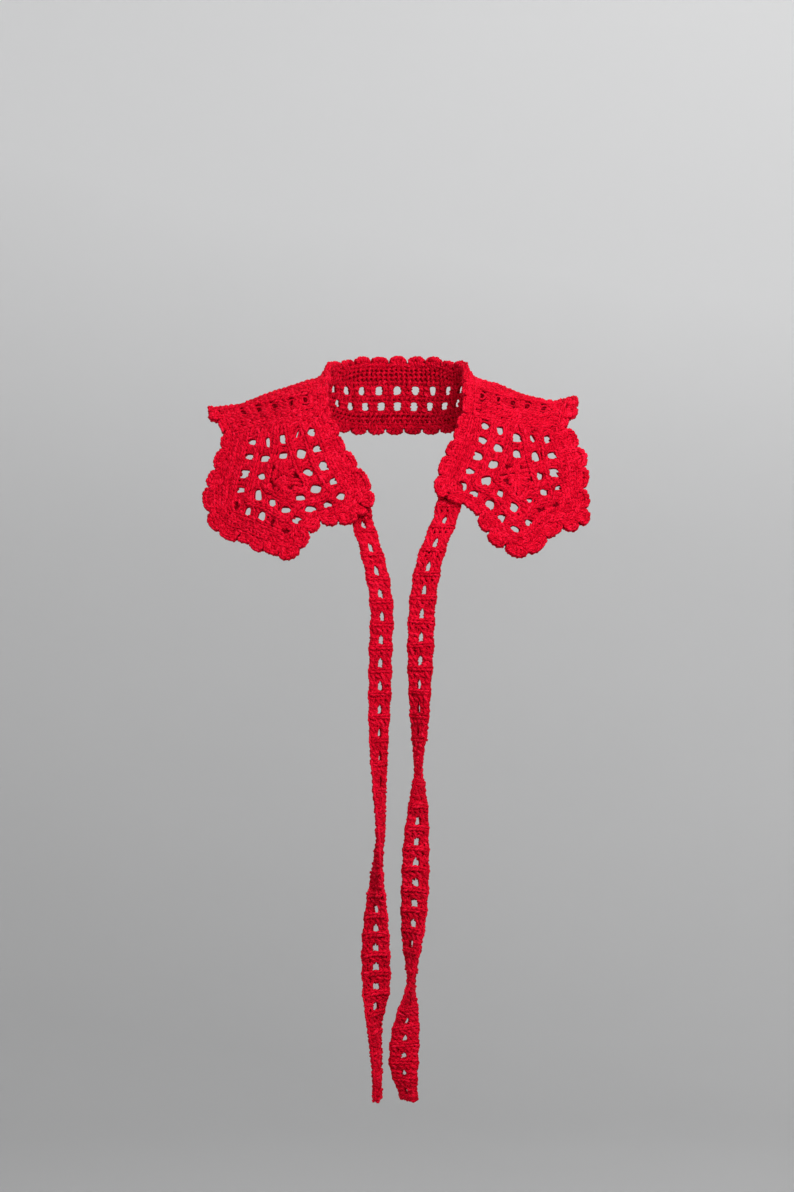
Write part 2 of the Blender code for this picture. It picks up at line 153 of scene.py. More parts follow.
def hermite(places, values):
    """Smooth function through a table's column."""
    places, values = np.asarray(places, float), np.asarray(values, float)
    if places[0] > places[-1]:
        places, values = places[::-1], values[::-1]
    slopes = np.gradient(values, places)

    def at(x):
        x = np.clip(np.asarray(x, float), places[0], places[-1])
        i = np.clip(np.searchsorted(places, x) - 1, 0, len(places) - 2)
        step = places[i + 1] - places[i]
        t = (x - places[i]) / step
        return ((1 + 2 * t) * (1 - t) ** 2 * values[i] + t * (1 - t) ** 2 * step * slopes[i]
                + t * t * (3 - 2 * t) * values[i + 1] - t * t * (1 - t) * step * slopes[i + 1])
    return at


CUTS = [hermite(SECTIONS[:, 0], SECTIONS[:, k]) for k in range(1, 8)]


def section(x):
    ridge, *rest = (c(np.abs(x)) for c in CUTS)
    sag = RIGHT_SAG * smooth(95, 132, x) * (1 - smooth(152, 172, x))
    return ridge + np.sign(x) * END_TILT * smooth(110, 185, np.abs(x)) - sag, *rest


def fall(d, rounding, slope):
    return (np.sqrt(rounding ** 2 + (slope * d) ** 2) - rounding) / slope ** 2


def height(x, y):
    ridge, fy, by, fr, fs, br, bs = section(x)
    z = ridge - fall(np.maximum(0, fy - y), fr, fs) - fall(np.maximum(0, y - by), br, bs)
    near = 1 - smooth(NAPE_NEAR, NAPE_FAR, np.hypot(x, y))
    return z + NAPE_LIFT * near * smooth(NAPE_FRONT, NAPE_BACK, y)


def on_plan(x, y):
    return np.stack([x, y, height(x, y)], -1)


def on_front(x, z):
    ridge, fy, _, fr, fs, _, _ = section(x)
    drop = np.maximum(0.5, ridge - z)
    return np.stack([x, fy - np.sqrt(2 * fr * drop + (fs * drop) ** 2), z], -1)


def on_back(x, z):
    ridge, _, by, _, _, br, bs = section(x)
    drop = np.maximum(0.5, ridge - z)
    return np.stack([x, by + np.sqrt(2 * br * drop + (bs * drop) ** 2), z], -1)


def normals(p):
    x, y, h = p[..., 0], p[..., 1], 0.5
    sx = (height(x + h, y) - height(x - h, y)) / (2 * h)
    sy = (height(x, y + h) - height(x, y - h)) / (2 * h)
    return unit(np.stack([-sx, -sy, np.ones_like(sx)], -1))


def run_of(points):
    return np.concatenate([[0], np.cumsum(np.linalg.norm(np.diff(points, axis=0), axis=1))])


def spaced(points, count):
    run = run_of(points)
    at = np.linspace(0, run[-1], count)
    return np.stack([np.interp(at, run, points[:, k]) for k in range(points.shape[1])], -1)


def curve(points, count):
    """Points evenly spaced by length along the smooth curve through the given ones."""
    points = np.asarray(points, float)
    places = run_of(points)
    fine = np.unique(np.concatenate([np.linspace(0, places[-1], 40 * len(points)), places]))
    return spaced(np.stack([hermite(places, points[:, k])(fine) for k in range(points.shape[1])], -1), count)


class Patch:
    """A piece of cloth as a fine grid of points and normals. u runs along a row and v across the rows, both 0 to 1."""

    def __init__(self, points):
        self.P = points
        self.N = normals(points)

    def at(self, u, v):
        u, v = np.broadcast_arrays(np.asarray(u, float), np.asarray(v, float))
        rows, columns = self.P.shape[:2]
        a = np.clip(v, 0, 1) * (rows - 1)
        b = np.clip(u, 0, 1) * (columns - 1)
        i, j = np.minimum(a.astype(int), rows - 2), np.minimum(b.astype(int), columns - 2)
        s, t = (a - i)[..., None], (b - j)[..., None]
        mix = [g[i, j] * (1 - s) * (1 - t) + g[i + 1, j] * s * (1 - t) + g[i, j + 1] * (1 - s) * t + g[i + 1, j + 1] * s * t
               for g in (self.P, self.N)]
        return mix[0], unit(mix[1])


# ---------------------------------------------------------------- yarn

class Yarn:
    """Short lengths of yarn, gathered by how many points they have and made into one mesh of tubes."""

    def __init__(self):
        self.groups = {}

    def add(self, points, up, radius, shade=None, sides=5):
        count, k = points.shape[:2]
        if not count:
            return
        radius = np.broadcast_to(radius, (count, k))
        shade = np.broadcast_to(rng.normal(0, 1, (count, 1)) if shade is None else shade, (count, k))
        self.groups.setdefault((k, sides), []).append((points, np.broadcast_to(up, points.shape), radius, shade))

    def mesh(self, name):
        co, index, sizes, uv, tone_and_painted_shade = [], [], [], [], []
        base = 0
        for (k, sides), items in sorted(self.groups.items()):
            angle = 2 * math.pi * np.arange(sides) / sides
            P, U, R, shade = (np.concatenate([item[j] for item in items]) for j in range(4))
            count = len(P)
            T = unit(np.gradient(P, axis=1))
            x = unit(U[:, 0] - T[:, 0] * (U[:, 0] * T[:, 0]).sum(-1, keepdims=True))
            X = np.empty_like(P)
            for i in range(k):
                x = unit(x - T[:, i] * (x * T[:, i]).sum(-1, keepdims=True))
                X[:, i] = x
            Y = np.cross(T, X)
            R = R.copy()
            R[:, 0] *= 0.6
            R[:, -1] *= 0.6
            ring = P[:, :, None] + R[:, :, None, None] * (np.cos(angle)[:, None] * X[:, :, None] + np.sin(angle)[:, None] * Y[:, :, None])
            co.append(ring.reshape(-1, 3))
            run = np.concatenate([np.zeros((count, 1)), np.cumsum(np.linalg.norm(np.diff(P, axis=1), axis=-1), axis=1)], axis=1)
            run = run + rng.uniform(0, 6, (count, 1))
            vertex = base + np.arange(count * k * sides).reshape(count, k, sides)
            around = np.roll(vertex, -1, axis=2)
            quads = np.stack([vertex[:, :-1], around[:, :-1], around[:, 1:], vertex[:, 1:]], -1)
            index.append(quads.reshape(-1))
            sizes.append(np.full(count * (k - 1) * sides, 4))
            v0 = np.arange(sides) / sides
            v1 = v0 + 1 / sides
            low, high = run[:, :-1, None], run[:, 1:, None]
            u4 = np.stack(np.broadcast_arrays(low + 0 * v0, low + 0 * v0, high + 0 * v0, high + 0 * v0), -1)
            v4 = np.stack(np.broadcast_arrays(v0 + 0 * low, v1 + 0 * low, v1 + 0 * low, v0 + 0 * low), -1)
            uv.append(np.stack([u4, v4], -1).reshape(-1, 2))
            caps = np.concatenate([vertex[:, 0, ::-1], vertex[:, -1]])
            index.append(caps.reshape(-1))
            sizes.append(np.full(2 * count, sides))
            ends = np.concatenate([np.repeat(run[:, :1], sides, 1), np.repeat(run[:, -1:], sides, 1)])
            uv.append(np.stack([ends, np.tile(v0, (2 * count, 1))], -1).reshape(-1, 2))
            tone_and_painted_shade.append(np.repeat(shade.reshape(-1), sides))
            base += count * k * sides
        piece = mesh_object(name, np.concatenate(co), np.concatenate(index), np.concatenate(sizes))
        layer = piece.data.uv_layers.new(name="yarn")
        layer.data.foreach_set("uv", np.concatenate(uv).astype(np.float32).ravel())
        # Colour level of each point: a random tone for each strand plus painted shade where the yarn dives between its
        # neighbours.
        attribute = piece.data.attributes.new("tone_and_painted_shade", "FLOAT", "POINT")
        attribute.data.foreach_set("value", np.concatenate(tone_and_painted_shade).astype(np.float32))
        return piece


def mesh_object(name, co, index, sizes):
    mesh = bpy.data.meshes.new(name)
    mesh.vertices.add(len(co))
    mesh.vertices.foreach_set("co", (co * MM).astype(np.float32).ravel())
    mesh.loops.add(len(index))
    mesh.loops.foreach_set("vertex_index", index.astype(np.int32))
    mesh.polygons.add(len(sizes))
    mesh.polygons.foreach_set("loop_start", np.concatenate([[0], np.cumsum(sizes)[:-1]]).astype(np.int32))
    mesh.update(calc_edges=True)
    mesh.shade_smooth()
    piece = bpy.data.objects.new(name, mesh)
    bpy.context.scene.collection.objects.link(piece)
    return piece


# Shapes of one length of yarn in a stitch: part of the way along, part of the width across, radii above the ground.
LEG_OVER = np.array([(-.10, -.24, .2), (.12, -.29, .9), (.34, -.14, 1.3), (.55, .09, 1.4), (.76, .26, 1.1), (1.08, .24, .2)])
LEG_UNDER = np.array([(-.10, .24, .2), (.14, .29, .8), (.36, .20, .7), (.58, -.06, .55), (.80, -.26, .9), (1.08, -.24, .2)])
WRAP = np.array([(.20, -.60, .1), (.32, -.42, 1.0), (.47, .0, 1.8), (.60, .42, 1.1), (.67, .60, .1)])
LINK_LEFT = np.array([(-.16, .02, .15), (.10, .15, 1.15), (.44, .32, 1.6), (.80, .37, 1.3), (1.10, .22, .15)])
LINK_RIGHT = LINK_LEFT * (1, -1, 1)
PURL = np.array([(.40, -.60, .1), (.30, -.40, .95), (.40, .0, 1.4), (.56, .36, 1.0), (.66, .58, .1)])


def stitch(yarn, P0, P1, N0, N1, shape, width, radius=1.0, side=1, lift=0.0, wobble=0.17, mirror=1):
    """Lays one length of yarn for each pair of points, in the given shape and a little unevenly."""
    t = shape[:, 0]
    count = len(P0)
    if not count:
        return
    along = P1 - P0
    n = unit(N0[:, None] * (1 - t[:, None]) + N1[:, None] * t[:, None]) * side
    b = unit(np.cross(n, np.broadcast_to(unit(along)[:, None], n.shape)))
    width = np.asarray(width, float)
    if width.ndim == 0:
        width = np.broadcast_to(width, (count, 2))
    elif width.ndim == 1:
        width = np.stack([width, width], -1)
    w = width[:, :1] * (1 - t) + width[:, 1:] * t
    r = YARN * radius * (1 + rng.normal(0, 0.07, (count, 1)))
    rise = shape[:, 2] * r + lift + rng.normal(0, wobble, (count, 1)) + rng.normal(0, wobble * 0.5, (count, len(t)))
    lean = rng.normal(0, 0.055, (count, 1)) * np.linalg.norm(along, axis=1, keepdims=True) * (t - 0.5)
    shift = mirror * shape[:, 1] * w * (1 + rng.normal(0, 0.08, (count, 1))) + lean + rng.normal(0, wobble * 0.8, (count, len(t)))
    slide = (t + rng.normal(0, 0.04, (count, 1)))[..., None]
    points = P0[:, None] + along[:, None] * slide + b * shift[..., None] + n * np.maximum(rise, 0.1)[..., None]
    # Painted shade: the yarn's colour is darkened where it dives between its neighbours, on top of a random tone for
    # each strand.
    shade = rng.normal(0, 1, (count, 1)) + 1.5 * np.minimum((rise - lift) / (1.3 * r) - 1, 0.5)
    yarn.add(points, n, r * np.ones(len(t)), shade, sides=5 if side > 0 else 4)


def posts(yarn, P0, P1, N0, N1, width=STITCH, radius=1.0, back=True, both=False, lean=1):
    """Double crochet posts: two legs that cross, with one yarn round them. both lays the wrap on the reverse too."""
    tall = len(P0) > 0 and float(np.linalg.norm(P1 - P0, axis=1).mean()) > 6.8
    for side in ((1, -1) if back else (1,)):
        for leg in (LEG_OVER, LEG_UNDER):
            leg = leg if side > 0 and tall else leg[[0, 1, 2, 4, 5]]
            stitch(yarn, P0, P1, N0, N1, leg, width, radius, side=side, mirror=lean)
        if side > 0 or both:
            stitch(yarn, P0, P1, N0, N1, WRAP, width, radius * 0.94, side=side, mirror=lean)


def even(P, N, pitch, offset=0.0, start=0.0, end=0.0, count=None):
    """Points about a pitch apart along a line on the cloth, moved sideways by the offset."""
    T = unit(np.gradient(P, axis=0))
    P = P + np.cross(N, T) * (offset if np.ndim(offset) == 0 else np.asarray(offset)[:, None])
    run = run_of(P)
    room = run[-1] - start - end
    if room < pitch * 0.6:
        return P[:0], N[:0]
    count = count or max(1, round(room / pitch))
    at = np.linspace(start, run[-1] - end, count + 1)
    return (np.stack([np.interp(at, run, P[:, k]) for k in range(3)], -1),
            unit(np.stack([np.interp(at, run, N[:, k]) for k in range(3)], -1)))


def braid(yarn, P, N, width=STITCH, pitch=LINK, offset=0.0, start=0.0, end=0.0, radius=1.0, lift=0.0, back=True, flip=False):
    """A row of V links along a line of the cloth."""
    if flip:
        P, N, offset = P[::-1], N[::-1], -np.asarray(offset)[::-1] if np.ndim(offset) else -offset
        start, end = end, start
    line = P
    P, N = even(P, N, pitch, offset, start, end)
    if len(P) < 2:
        return
    if np.ndim(width):
        width = np.interp((np.arange(len(P) - 1) + 0.5) / (len(P) - 1), run_of(line) / run_of(line)[-1], width)
    for shape in (LINK_LEFT, LINK_RIGHT):
        stitch(yarn, P[:-1], P[1:], N[:-1], N[1:], shape, width, radius, lift=lift)
    if back:
        stitch(yarn, P[:-1], P[1:], N[:-1], N[1:], PURL, width * 1.05, radius * 1.05, side=-1)
        stitch(yarn, P[:-1], P[1:], N[:-1], N[1:], LINK_LEFT * (1, 0.5, 0.7), width, radius, side=-1)


def core(yarn, P, N, radius=0.95, lift=0.35, sway=0.3, step=3.0):
    """One long strand along a line of the cloth: the filling under the links of a braid, or a plain edge."""
    run = run_of(P)
    at = np.linspace(0, run[-1], max(4, int(run[-1] / step)))
    P, N = (np.stack([np.interp(at, run, line[:, k]) for k in range(3)], -1) for line in (P, N))
    N = unit(N)
    across = unit(np.cross(N, unit(np.gradient(P, axis=0))))
    phase = rng.uniform(0, 6.3)
    P = P + across * (sway * np.sin(at * 2 * math.pi / LINK + phase))[:, None] + N * YARN * (lift + 0.12 * np.sin(at * 0.9 + phase))[:, None]
    yarn.add(P[None], N[None], np.full((1, len(P)), YARN * radius))


def outside_of(holes, points, clear):
    """Whether each 3-D point of a front panel is clear of every opening, given as its centre and half axes in x and z."""
    keep = np.ones(points.shape[:-1], bool)
    for centre, axes in holes:
        size = np.linalg.norm(axes, axis=1, keepdims=True)
        part = (points[..., [0, 2]] - centre) @ np.linalg.inv(np.asarray(axes) * (1 + clear / size))
        keep &= (np.abs(part) ** 2.5).sum(-1) > 1
    return keep


def split_round(holes, P0, P1, N0, N1, clear=1.5, shortest=2.4):
    """The ends of the posts, those that would cross an opening cut short on either side of it."""
    t = np.linspace(0, 1, 25)
    result = []
    for p, q, m, n in zip(P0, P1, N0, N1):
        length = float(np.linalg.norm(q - p))
        for a, b in runs_of(outside_of(holes, p + (q - p) * t[:, None], clear)):
            a, b = t[a], t[b - 1]
            if (b - a) * length > shortest:
                result.append((p + (q - p) * a, p + (q - p) * b, m + (n - m) * a, m + (n - m) * b))
    return [np.array(column) for column in zip(*result)]


def post_row(yarn, low, high, gaps=(), width=STITCH, start=0.0, end=0.0, reach=0.0, radius=1.0, back=True, both=False, pitch=None,
             holes=()):
    """Posts side by side from one line to another. gaps are the (from, to) lengths along the middle line left open, and
    holes the openings that single posts stop at. A long post is made of stitches one above the other."""
    (P0, N0), (P1, N1) = low, high
    middle = (P0 + P1) / 2
    run = run_of(middle)
    edges = [start] + [g for gap in gaps for g in gap] + [run[-1] - end]
    for a, b in zip(edges[::2], edges[1::2]):
        room = b - a
        if room < width * 0.55:
            continue
        count = max(1, round(room / (pitch or width)))
        at = a + (np.arange(count) + 0.5) * room / count
        Q0, Q1, M0, M1 = (np.stack([np.interp(at, run, line[:, k]) for k in range(3)], -1) for line in (P0, P1, N0, N1))
        if reach:
            d = unit(Q1 - Q0) * reach
            Q0, Q1 = Q0 - d, Q1 + d
        if len(holes):
            Q0, Q1, M0, M1 = split_round(holes, Q0, Q1, M0, M1)
        length = np.linalg.norm(Q1 - Q0, axis=1)
        for tiers in (1, 2, 3):
            some = np.clip(np.round(length / 6.4), 1, 3) == tiers
            for k in range(tiers) if some.any() else ():
                a, b = max(0, k / tiers - 0.03), min(1, (k + 1) / tiers + 0.03)
                posts(yarn, Q0[some] + (Q1 - Q0)[some] * a, Q0[some] + (Q1 - Q0)[some] * b,
                      unit(M0[some] + (M1 - M0)[some] * a), unit(M0[some] + (M1 - M0)[some] * b),
                      min(width * 1.08, room / count * 1.08), radius, back=back, both=both)


# ---------------------------------------------------------------- ground

def inside(points, polygon):
    """Whether each 2-D point is in the polygon."""
    x, y = points[:, 0], points[:, 1]
    result = np.zeros(len(points), bool)
    px, py = polygon[:, 0], polygon[:, 1]
    qx, qy = np.roll(px, -1), np.roll(py, -1)
    for a, b, c, d in zip(px, py, qx, qy):
        if b == d:
            continue
        result ^= ((b > y) != (d > y)) & (x < (c - a) * (y - b) / (d - b) + a)
    return result


def opening(centre, axes, power=3.0, count=14, pinch=0.0, skew=0.0):
    """Outline of one opening: a rounded rectangle between the two half axes, pinched towards one end and skewed."""
    angle = 2 * math.pi * (np.arange(count) + 0.5) / count
    c, s = np.cos(angle), np.sin(angle)
    c, s = np.sign(c) * np.abs(c) ** (2 / power), np.sign(s) * np.abs(s) ** (2 / power)
    c = c * (1 + pinch * s) + skew * s
    return np.asarray(centre) + c[:, None] * np.asarray(axes[0]) + s[:, None] * np.asarray(axes[1])


def ground(name, outline, holes, to_cloth, grain=4.2, half=GROUND):
    """The thin cloth under the stitches, with its openings, as a closed wall. to_cloth maps the flat chart to points and normals."""
    outline = np.asarray(outline, float)
    low, high = outline.min(0), outline.max(0)
    ys = np.arange(low[1] + grain / 2, high[1], grain * 0.87)
    dots = np.concatenate([np.stack([np.arange(low[0] + (grain / 2 if i % 2 else 0), high[0], grain), np.full(len(np.arange(low[0] + (grain / 2 if i % 2 else 0), high[0], grain)), y)], -1)
                           for i, y in enumerate(ys)])
    keep = inside(dots, outline)
    loops = [outline] + [np.asarray(h, float) for h in holes]
    rim = np.concatenate(loops)
    for hole in loops[1:]:
        keep &= ~inside(dots, hole)
    dots = dots[keep]
    near = np.array([np.min(np.sum((rim - d) ** 2, axis=1)) for d in dots]) if len(dots) else np.zeros(0)
    dots = dots[near > (grain * 0.4) ** 2]
    coords = np.concatenate([rim, dots])
    edges, start = [], 0
    for loop in loops:
        k = len(loop)
        edges += [(start + i, start + (i + 1) % k) for i in range(k)]
        start += k
    verts, _, faces, *_ = delaunay_2d_cdt([Vector(c) for c in coords], edges, [], 0, 1e-4)
    flat = np.array([tuple(v) for v in verts])
    faces = np.array([tuple(f) for f in faces if len(f) == 3])
    middle = flat[faces].mean(1)
    keep = inside(middle, outline)
    for hole in loops[1:]:
        keep &= ~inside(middle, hole)
    faces = faces[keep]
    area2 = np.cross(flat[faces[:, 1]] - flat[faces[:, 0]], flat[faces[:, 2]] - flat[faces[:, 0]])
    faces = faces[np.abs(area2) > 1e-4]
    used, faces = np.unique(faces, return_inverse=True)
    flat, faces = flat[used], faces.reshape(-1, 3)
    P, N = to_cloth(flat[:, 0], flat[:, 1])
    a, b, c = (P[faces[:, k]] for k in range(3))
    turned = (np.cross(b - a, c - a) * N[faces[:, 0]]).sum(-1) < 0
    faces[turned] = faces[turned][:, ::-1]
    count = len(P)
    ends = np.concatenate([faces[:, [0, 1]], faces[:, [1, 2]], faces[:, [2, 0]]])
    key = ends[:, 0] * count + ends[:, 1]
    back = ends[:, 1] * count + ends[:, 0]
    border = ends[~np.isin(key, back)]
    co = np.concatenate([P + N * half, P - N * half])
    walls = np.stack([border[:, 1], border[:, 0], border[:, 0] + count, border[:, 1] + count], -1)
    index = np.concatenate([faces.ravel(), (faces[:, ::-1] + count).ravel(), walls.ravel()])
    sizes = np.concatenate([np.full(len(faces) * 2, 3), np.full(len(walls), 4)])
    piece = mesh_object(name, co, index, sizes)
    piece.data.set_sharp_from_angle(angle=math.radians(50))
    cloth_area = np.linalg.norm(np.cross(b - a, c - a), axis=-1).sum() / 2 * 1e-6
    return piece, cloth_area


def ring_strands(yarn, holes, to_cloth, grow=1.35, radius=0.92):
    """A strand round each opening on both faces, where the chain and the posts beside it close it off."""
    for hole in holes:
        k = len(hole)
        order = (np.arange(k + 3) + int(rng.integers(k))) % k
        P, N = to_cloth(hole[:, 0], hole[:, 1])
        centre, up = P.mean(0), unit(N.mean(0))
        out = P - centre
        out = out / np.maximum(np.linalg.norm(out, axis=1, keepdims=True), 1e-6)
        for side in (1, -1):
            a = np.linspace(0, 2 * math.pi, k, endpoint=False)
            wave = 0.35 * np.sin(2 * a + rng.uniform(0, 6.3)) + 0.25 * np.sin(3 * a + rng.uniform(0, 6.3))
            lift = YARN * (0.85 + 0.30 * np.sin(2 * a + rng.uniform(0, 6.3)))
            ring = P + out * (grow + wave)[:, None] + side * N * lift[:, None]
            yarn.add(ring[order][None], side * N[order][None], np.full((1, k + 3), YARN * radius * rng.uniform(0.9, 1.08)),
                     sides=5 if side > 0 else 4)


def loose_loops(yarn, count, outline, holes, to_cloth, clear=6.2):
    """Short loops that stand a little above the rows where a strand was pulled up, so that the rows aren't all alike."""
    outline = np.asarray(outline, float)
    low, high = outline.min(0), outline.max(0)
    spots = low + (high - low) * rng.uniform(0, 1, (count * 3, 2))
    spots = spots[inside(spots, outline)]
    if holes:
        middles = np.array([np.mean(hole, axis=0) for hole in holes])
        spots = spots[np.min(np.linalg.norm(spots[:, None] - middles[None], axis=-1), axis=1) > clear]
    spots = spots[:count]
    P, N = to_cloth(spots[:, 0], spots[:, 1])
    side = unit(np.cross(N, (0.3, 0.2, 1.0)))
    up = np.cross(N, side)
    turn = rng.uniform(0, math.pi, (len(P), 1))
    along, across = np.cos(turn) * side + np.sin(turn) * up, np.cos(turn) * up - np.sin(turn) * side
    reach = rng.uniform(2.3, 3.6, (len(P), 1))
    bow = rng.normal(0, 0.8, (len(P), 1))
    shape = [(-1.0, 0.0, 0.3), (-0.55, 0.6, 1.5), (0.0, 1.0, 2.0), (0.55, 0.6, 1.5), (1.0, 0.0, 0.3)]
    points = np.stack([P + along * reach * a + across * bow * b + N * YARN * c for a, b, c in shape], 1)
    yarn.add(points, N[:, None], np.full((len(P), 5), YARN * 0.97))


# ---------------------------------------------------------------- front panels

def flat_front(inner, bottom, outer, chart):
    """The chart of a front panel in x and z: rows by the place across, columns by the place along."""
    sides = [curve(inner, 121), curve(bottom, 121), curve(outer, 121)[::-1]]
    edge = np.concatenate([sides[0], sides[1][1:], sides[2][1:]])
    along = np.linspace(0, 3, len(edge))[:, None]
    top, end = np.array(chart["spine"], float)
    base = np.where(along < 1, top + (end - top) * along, np.where(along > 2, end + (top - end) * (along - 2), end))
    across = np.linspace(0, 1, 61)[:, None, None]
    return base[None] * (1 - across) + edge[None] * across


class FrontPanel:
    def __init__(self, inner, bottom, outer, chart):
        self.chart = chart
        self.flat = flat_front(inner, bottom, outer, chart)
        self.cloth = Patch(on_front(self.flat[..., 0], self.flat[..., 1]))
        self.reach = np.linalg.norm(np.diff(self.cloth.P, axis=0), axis=-1).sum(0)
        self.along = np.linspace(0, 3, self.flat.shape[1])
        self.rows = [hermite([h[0] for h in row], [h[1] for h in row]) for row in chart["rows"]]

    def far(self, along):
        return np.interp(along, self.along, self.reach)

    def line(self, across, start=0.0, end=3.0, count=420):
        """Line at a place across that is a function of the place along."""
        along = np.linspace(start, end, count)
        return along, *self.cloth.at(along / 3, across(along))

    def flat_at(self, along, across):
        rows, columns = self.flat.shape[:2]
        a, b = across * (rows - 1), along / 3 * (columns - 1)
        i, j = min(int(a), rows - 2), min(int(b), columns - 2)
        s, t, g = a - i, b - j, self.flat
        return g[i, j] * (1 - s) * (1 - t) + g[i + 1, j] * s * (1 - t) + g[i, j + 1] * (1 - s) * t + g[i + 1, j + 1] * s * t

    def axes(self, along, across, half_along, half_across):
        """Half axes of an opening in the flat chart, from its half sizes on the cloth."""
        result = []
        for step_a, step_c, half in ((0.02, 0, half_along), (0, 0.02, half_across)):
            ends = [(min(max(along + k * step_a, 0), 3), min(max(across + k * step_c, 0), 1)) for k in (-1, 1)]
            flat = self.flat_at(*ends[1]) - self.flat_at(*ends[0])
            solid = self.cloth.at(ends[1][0] / 3, ends[1][1])[0] - self.cloth.at(ends[0][0] / 3, ends[0][1])[0]
            result.append(flat / max(float(np.linalg.norm(solid)), 1e-6) * half)
        return result


def make_front(name, panel):
    chart, far = panel.chart, panel.far
    row2, row3 = panel.rows
    half = PITCH / 2
    yarn, holes = Yarn(), []

    braid1 = lambda s: np.maximum(row2(s) - half / far(s), 0.09)
    braid2 = lambda s: (row2(s) + row3(s)) / 2
    braid3 = lambda s: np.minimum(row3(s) + 4.9 / far(s), 0.97)

    def at_offset(across, mm):
        return lambda s: np.clip(across(s) + mm / far(s), 0, 1)

    # The first row: the ladder of openings down the spine, then the fan round its end.
    shapes = [(np.array(spot), np.diag([0.9, 0.8])) for spot in chart["ring"]]
    shapes += [(panel.flat_at(place, 0.0), np.diag([half_x + 0.5, half_z + 0.5])) for place, half_x, half_z in chart["ladder"]]
    along, P, N = panel.line(at_offset(braid1, -2.6), 0.0, 0.66, 90)
    _, Q, M = panel.line(at_offset(braid1, -2.6), 3.0, 2.34, 90)
    post_row(yarn, (P, N), (Q, M), start=0.5, reach=0.8, holes=shapes)
    _, S, L = panel.line(lambda s: np.zeros_like(s), 0.66, 0.90, 40)
    for first, last in ((0.66, 0.90), (2.34, 2.10)):
        _, P, N = panel.line(at_offset(braid1, -2.6), first, last, 40)
        post_row(yarn, (S, L), (P, N), start=0.3, end=0.3, reach=0.6, holes=shapes)
    braid(yarn, S, L, 4.4, lift=0.3)
    _, P, N = panel.line(lambda s: 3.4 / far(s), 0.92, 2.08, 120)
    _, Q, M = panel.line(at_offset(braid1, -2.4), 0.92, 2.08, 120)
    middle = run_of((P + Q) / 2)
    count = 10
    at = (np.arange(count) + 0.5) * middle[-1] / count
    ends = [np.stack([np.interp(at, middle, line[:, k]) for k in range(3)], -1) for line in (P, Q, N, M)]
    ends = split_round(shapes, *ends)
    posts(yarn, ends[0], ends[1], unit(ends[2]), unit(ends[3]), np.broadcast_to([3.4, 4.8], (len(ends[0]), 2)))
    centre, up = panel.cloth.at(0.5, 0.0)
    angle = np.linspace(0, 2 * math.pi, 40)
    frame_x = unit(np.cross(up, (0, 0, 1)))
    frame_y = np.cross(up, frame_x)
    ring = centre + 3.2 * (np.cos(angle)[:, None] * frame_x + np.sin(angle)[:, None] * frame_y)
    braid(yarn, ring, np.broadcast_to(up, ring.shape), 3.8, 3.6, radius=0.95)

    # A braid between each two rows of openings.
    for across in (braid1, braid2):
        wave = lambda s, a=rng.uniform(0, 6): at_offset(across, 0.5 * np.sin(11 * s + a))(s)
        _, P, N = panel.line(wave, 0.0, 3.0)
        braid(yarn, P, N, 4.9, start=0.6, end=0.6, radius=1.12, lift=0.9)
        core(yarn, P, N, 1.1, 0.9)

    # The two rows of openings.
    for row, inner, outer in ((0, braid1, braid2), (1, braid2, braid3)):
        along, P, N = panel.line(at_offset(inner, 2.3), 0.0, 3.0)
        _, Q, M = panel.line(at_offset(outer, -2.3 if row == 0 else -0.6), 0.0, 3.0)
        found = []
        for place, across, half_x, half_z, turn in chart["rows"][row]:
            c, s = math.cos(math.radians(turn)), math.sin(math.radians(turn))
            grow = 0.5
            if row == 1 and place in chart["closed"]:
                half_x, half_z, grow = half_x * 0.5, half_z * 0.5, 0.0
            found.append((panel.flat_at(place, across), np.array([(c, -s), (s, c)]) * np.array([[half_x + grow], [half_z + grow]])))
        post_row(yarn, (P, N), (Q, M), start=0.5, end=0.5, reach=0.9, holes=found, pitch=4.4)
        shapes += found
    # No opening is cut at the closed openings and the ring's spots, so the ground's dark red shows there as painted
    # shade.
    closed = [panel.flat_at(place, across) for place, across, *_ in chart["rows"][1] if place in chart["closed"]]
    closed += [np.array(spot) for spot in chart["ring"]]
    for centre, axes in shapes:
        if min(np.linalg.norm(centre - spot) for spot in closed) > 0.1:
            holes.append(opening(centre, axes, 3.0, pinch=rng.uniform(-0.3, 0.2), skew=rng.uniform(-0.18, 0.18)))

    # The dense border outside the last row of openings: a braid, and a row of posts that stand on it out to the edge.
    low = at_offset(braid3, 1.4)
    _, P, N = panel.line(low, 0.0, 3.0)
    braid(yarn, P, N, 4.8, start=0.6, end=0.6, radius=1.05, lift=0.6)
    core(yarn, P, N, 1.05, 0.7)
    places = np.linspace(0, 3, 420)
    room = (1 - low(places)) * far(places)
    _, P, N = panel.line(lambda s: np.minimum(low(s) + 1.4 / far(s), 0.985), 0.0, 3.0)
    _, Q, M = panel.line(lambda s: 1 - 0.1 / far(s), 0.0, 3.0)
    post_row(yarn, (P, N), (Q, M), start=0.5, end=0.5, reach=0.9, width=4.5)
    wide = room > 12.0
    if wide.any():
        # Where the border is wide a second braid crosses it.
        for a, b in runs_of(wide):
            if b - a > 24:
                at = places[a:b]
                P, N = panel.cloth.at(at / 3, (1 + low(at)) / 2 + 0.8 / far(at))
                braid(yarn, P, N, 4.6, start=0.3, end=0.3, lift=0.5, back=False)

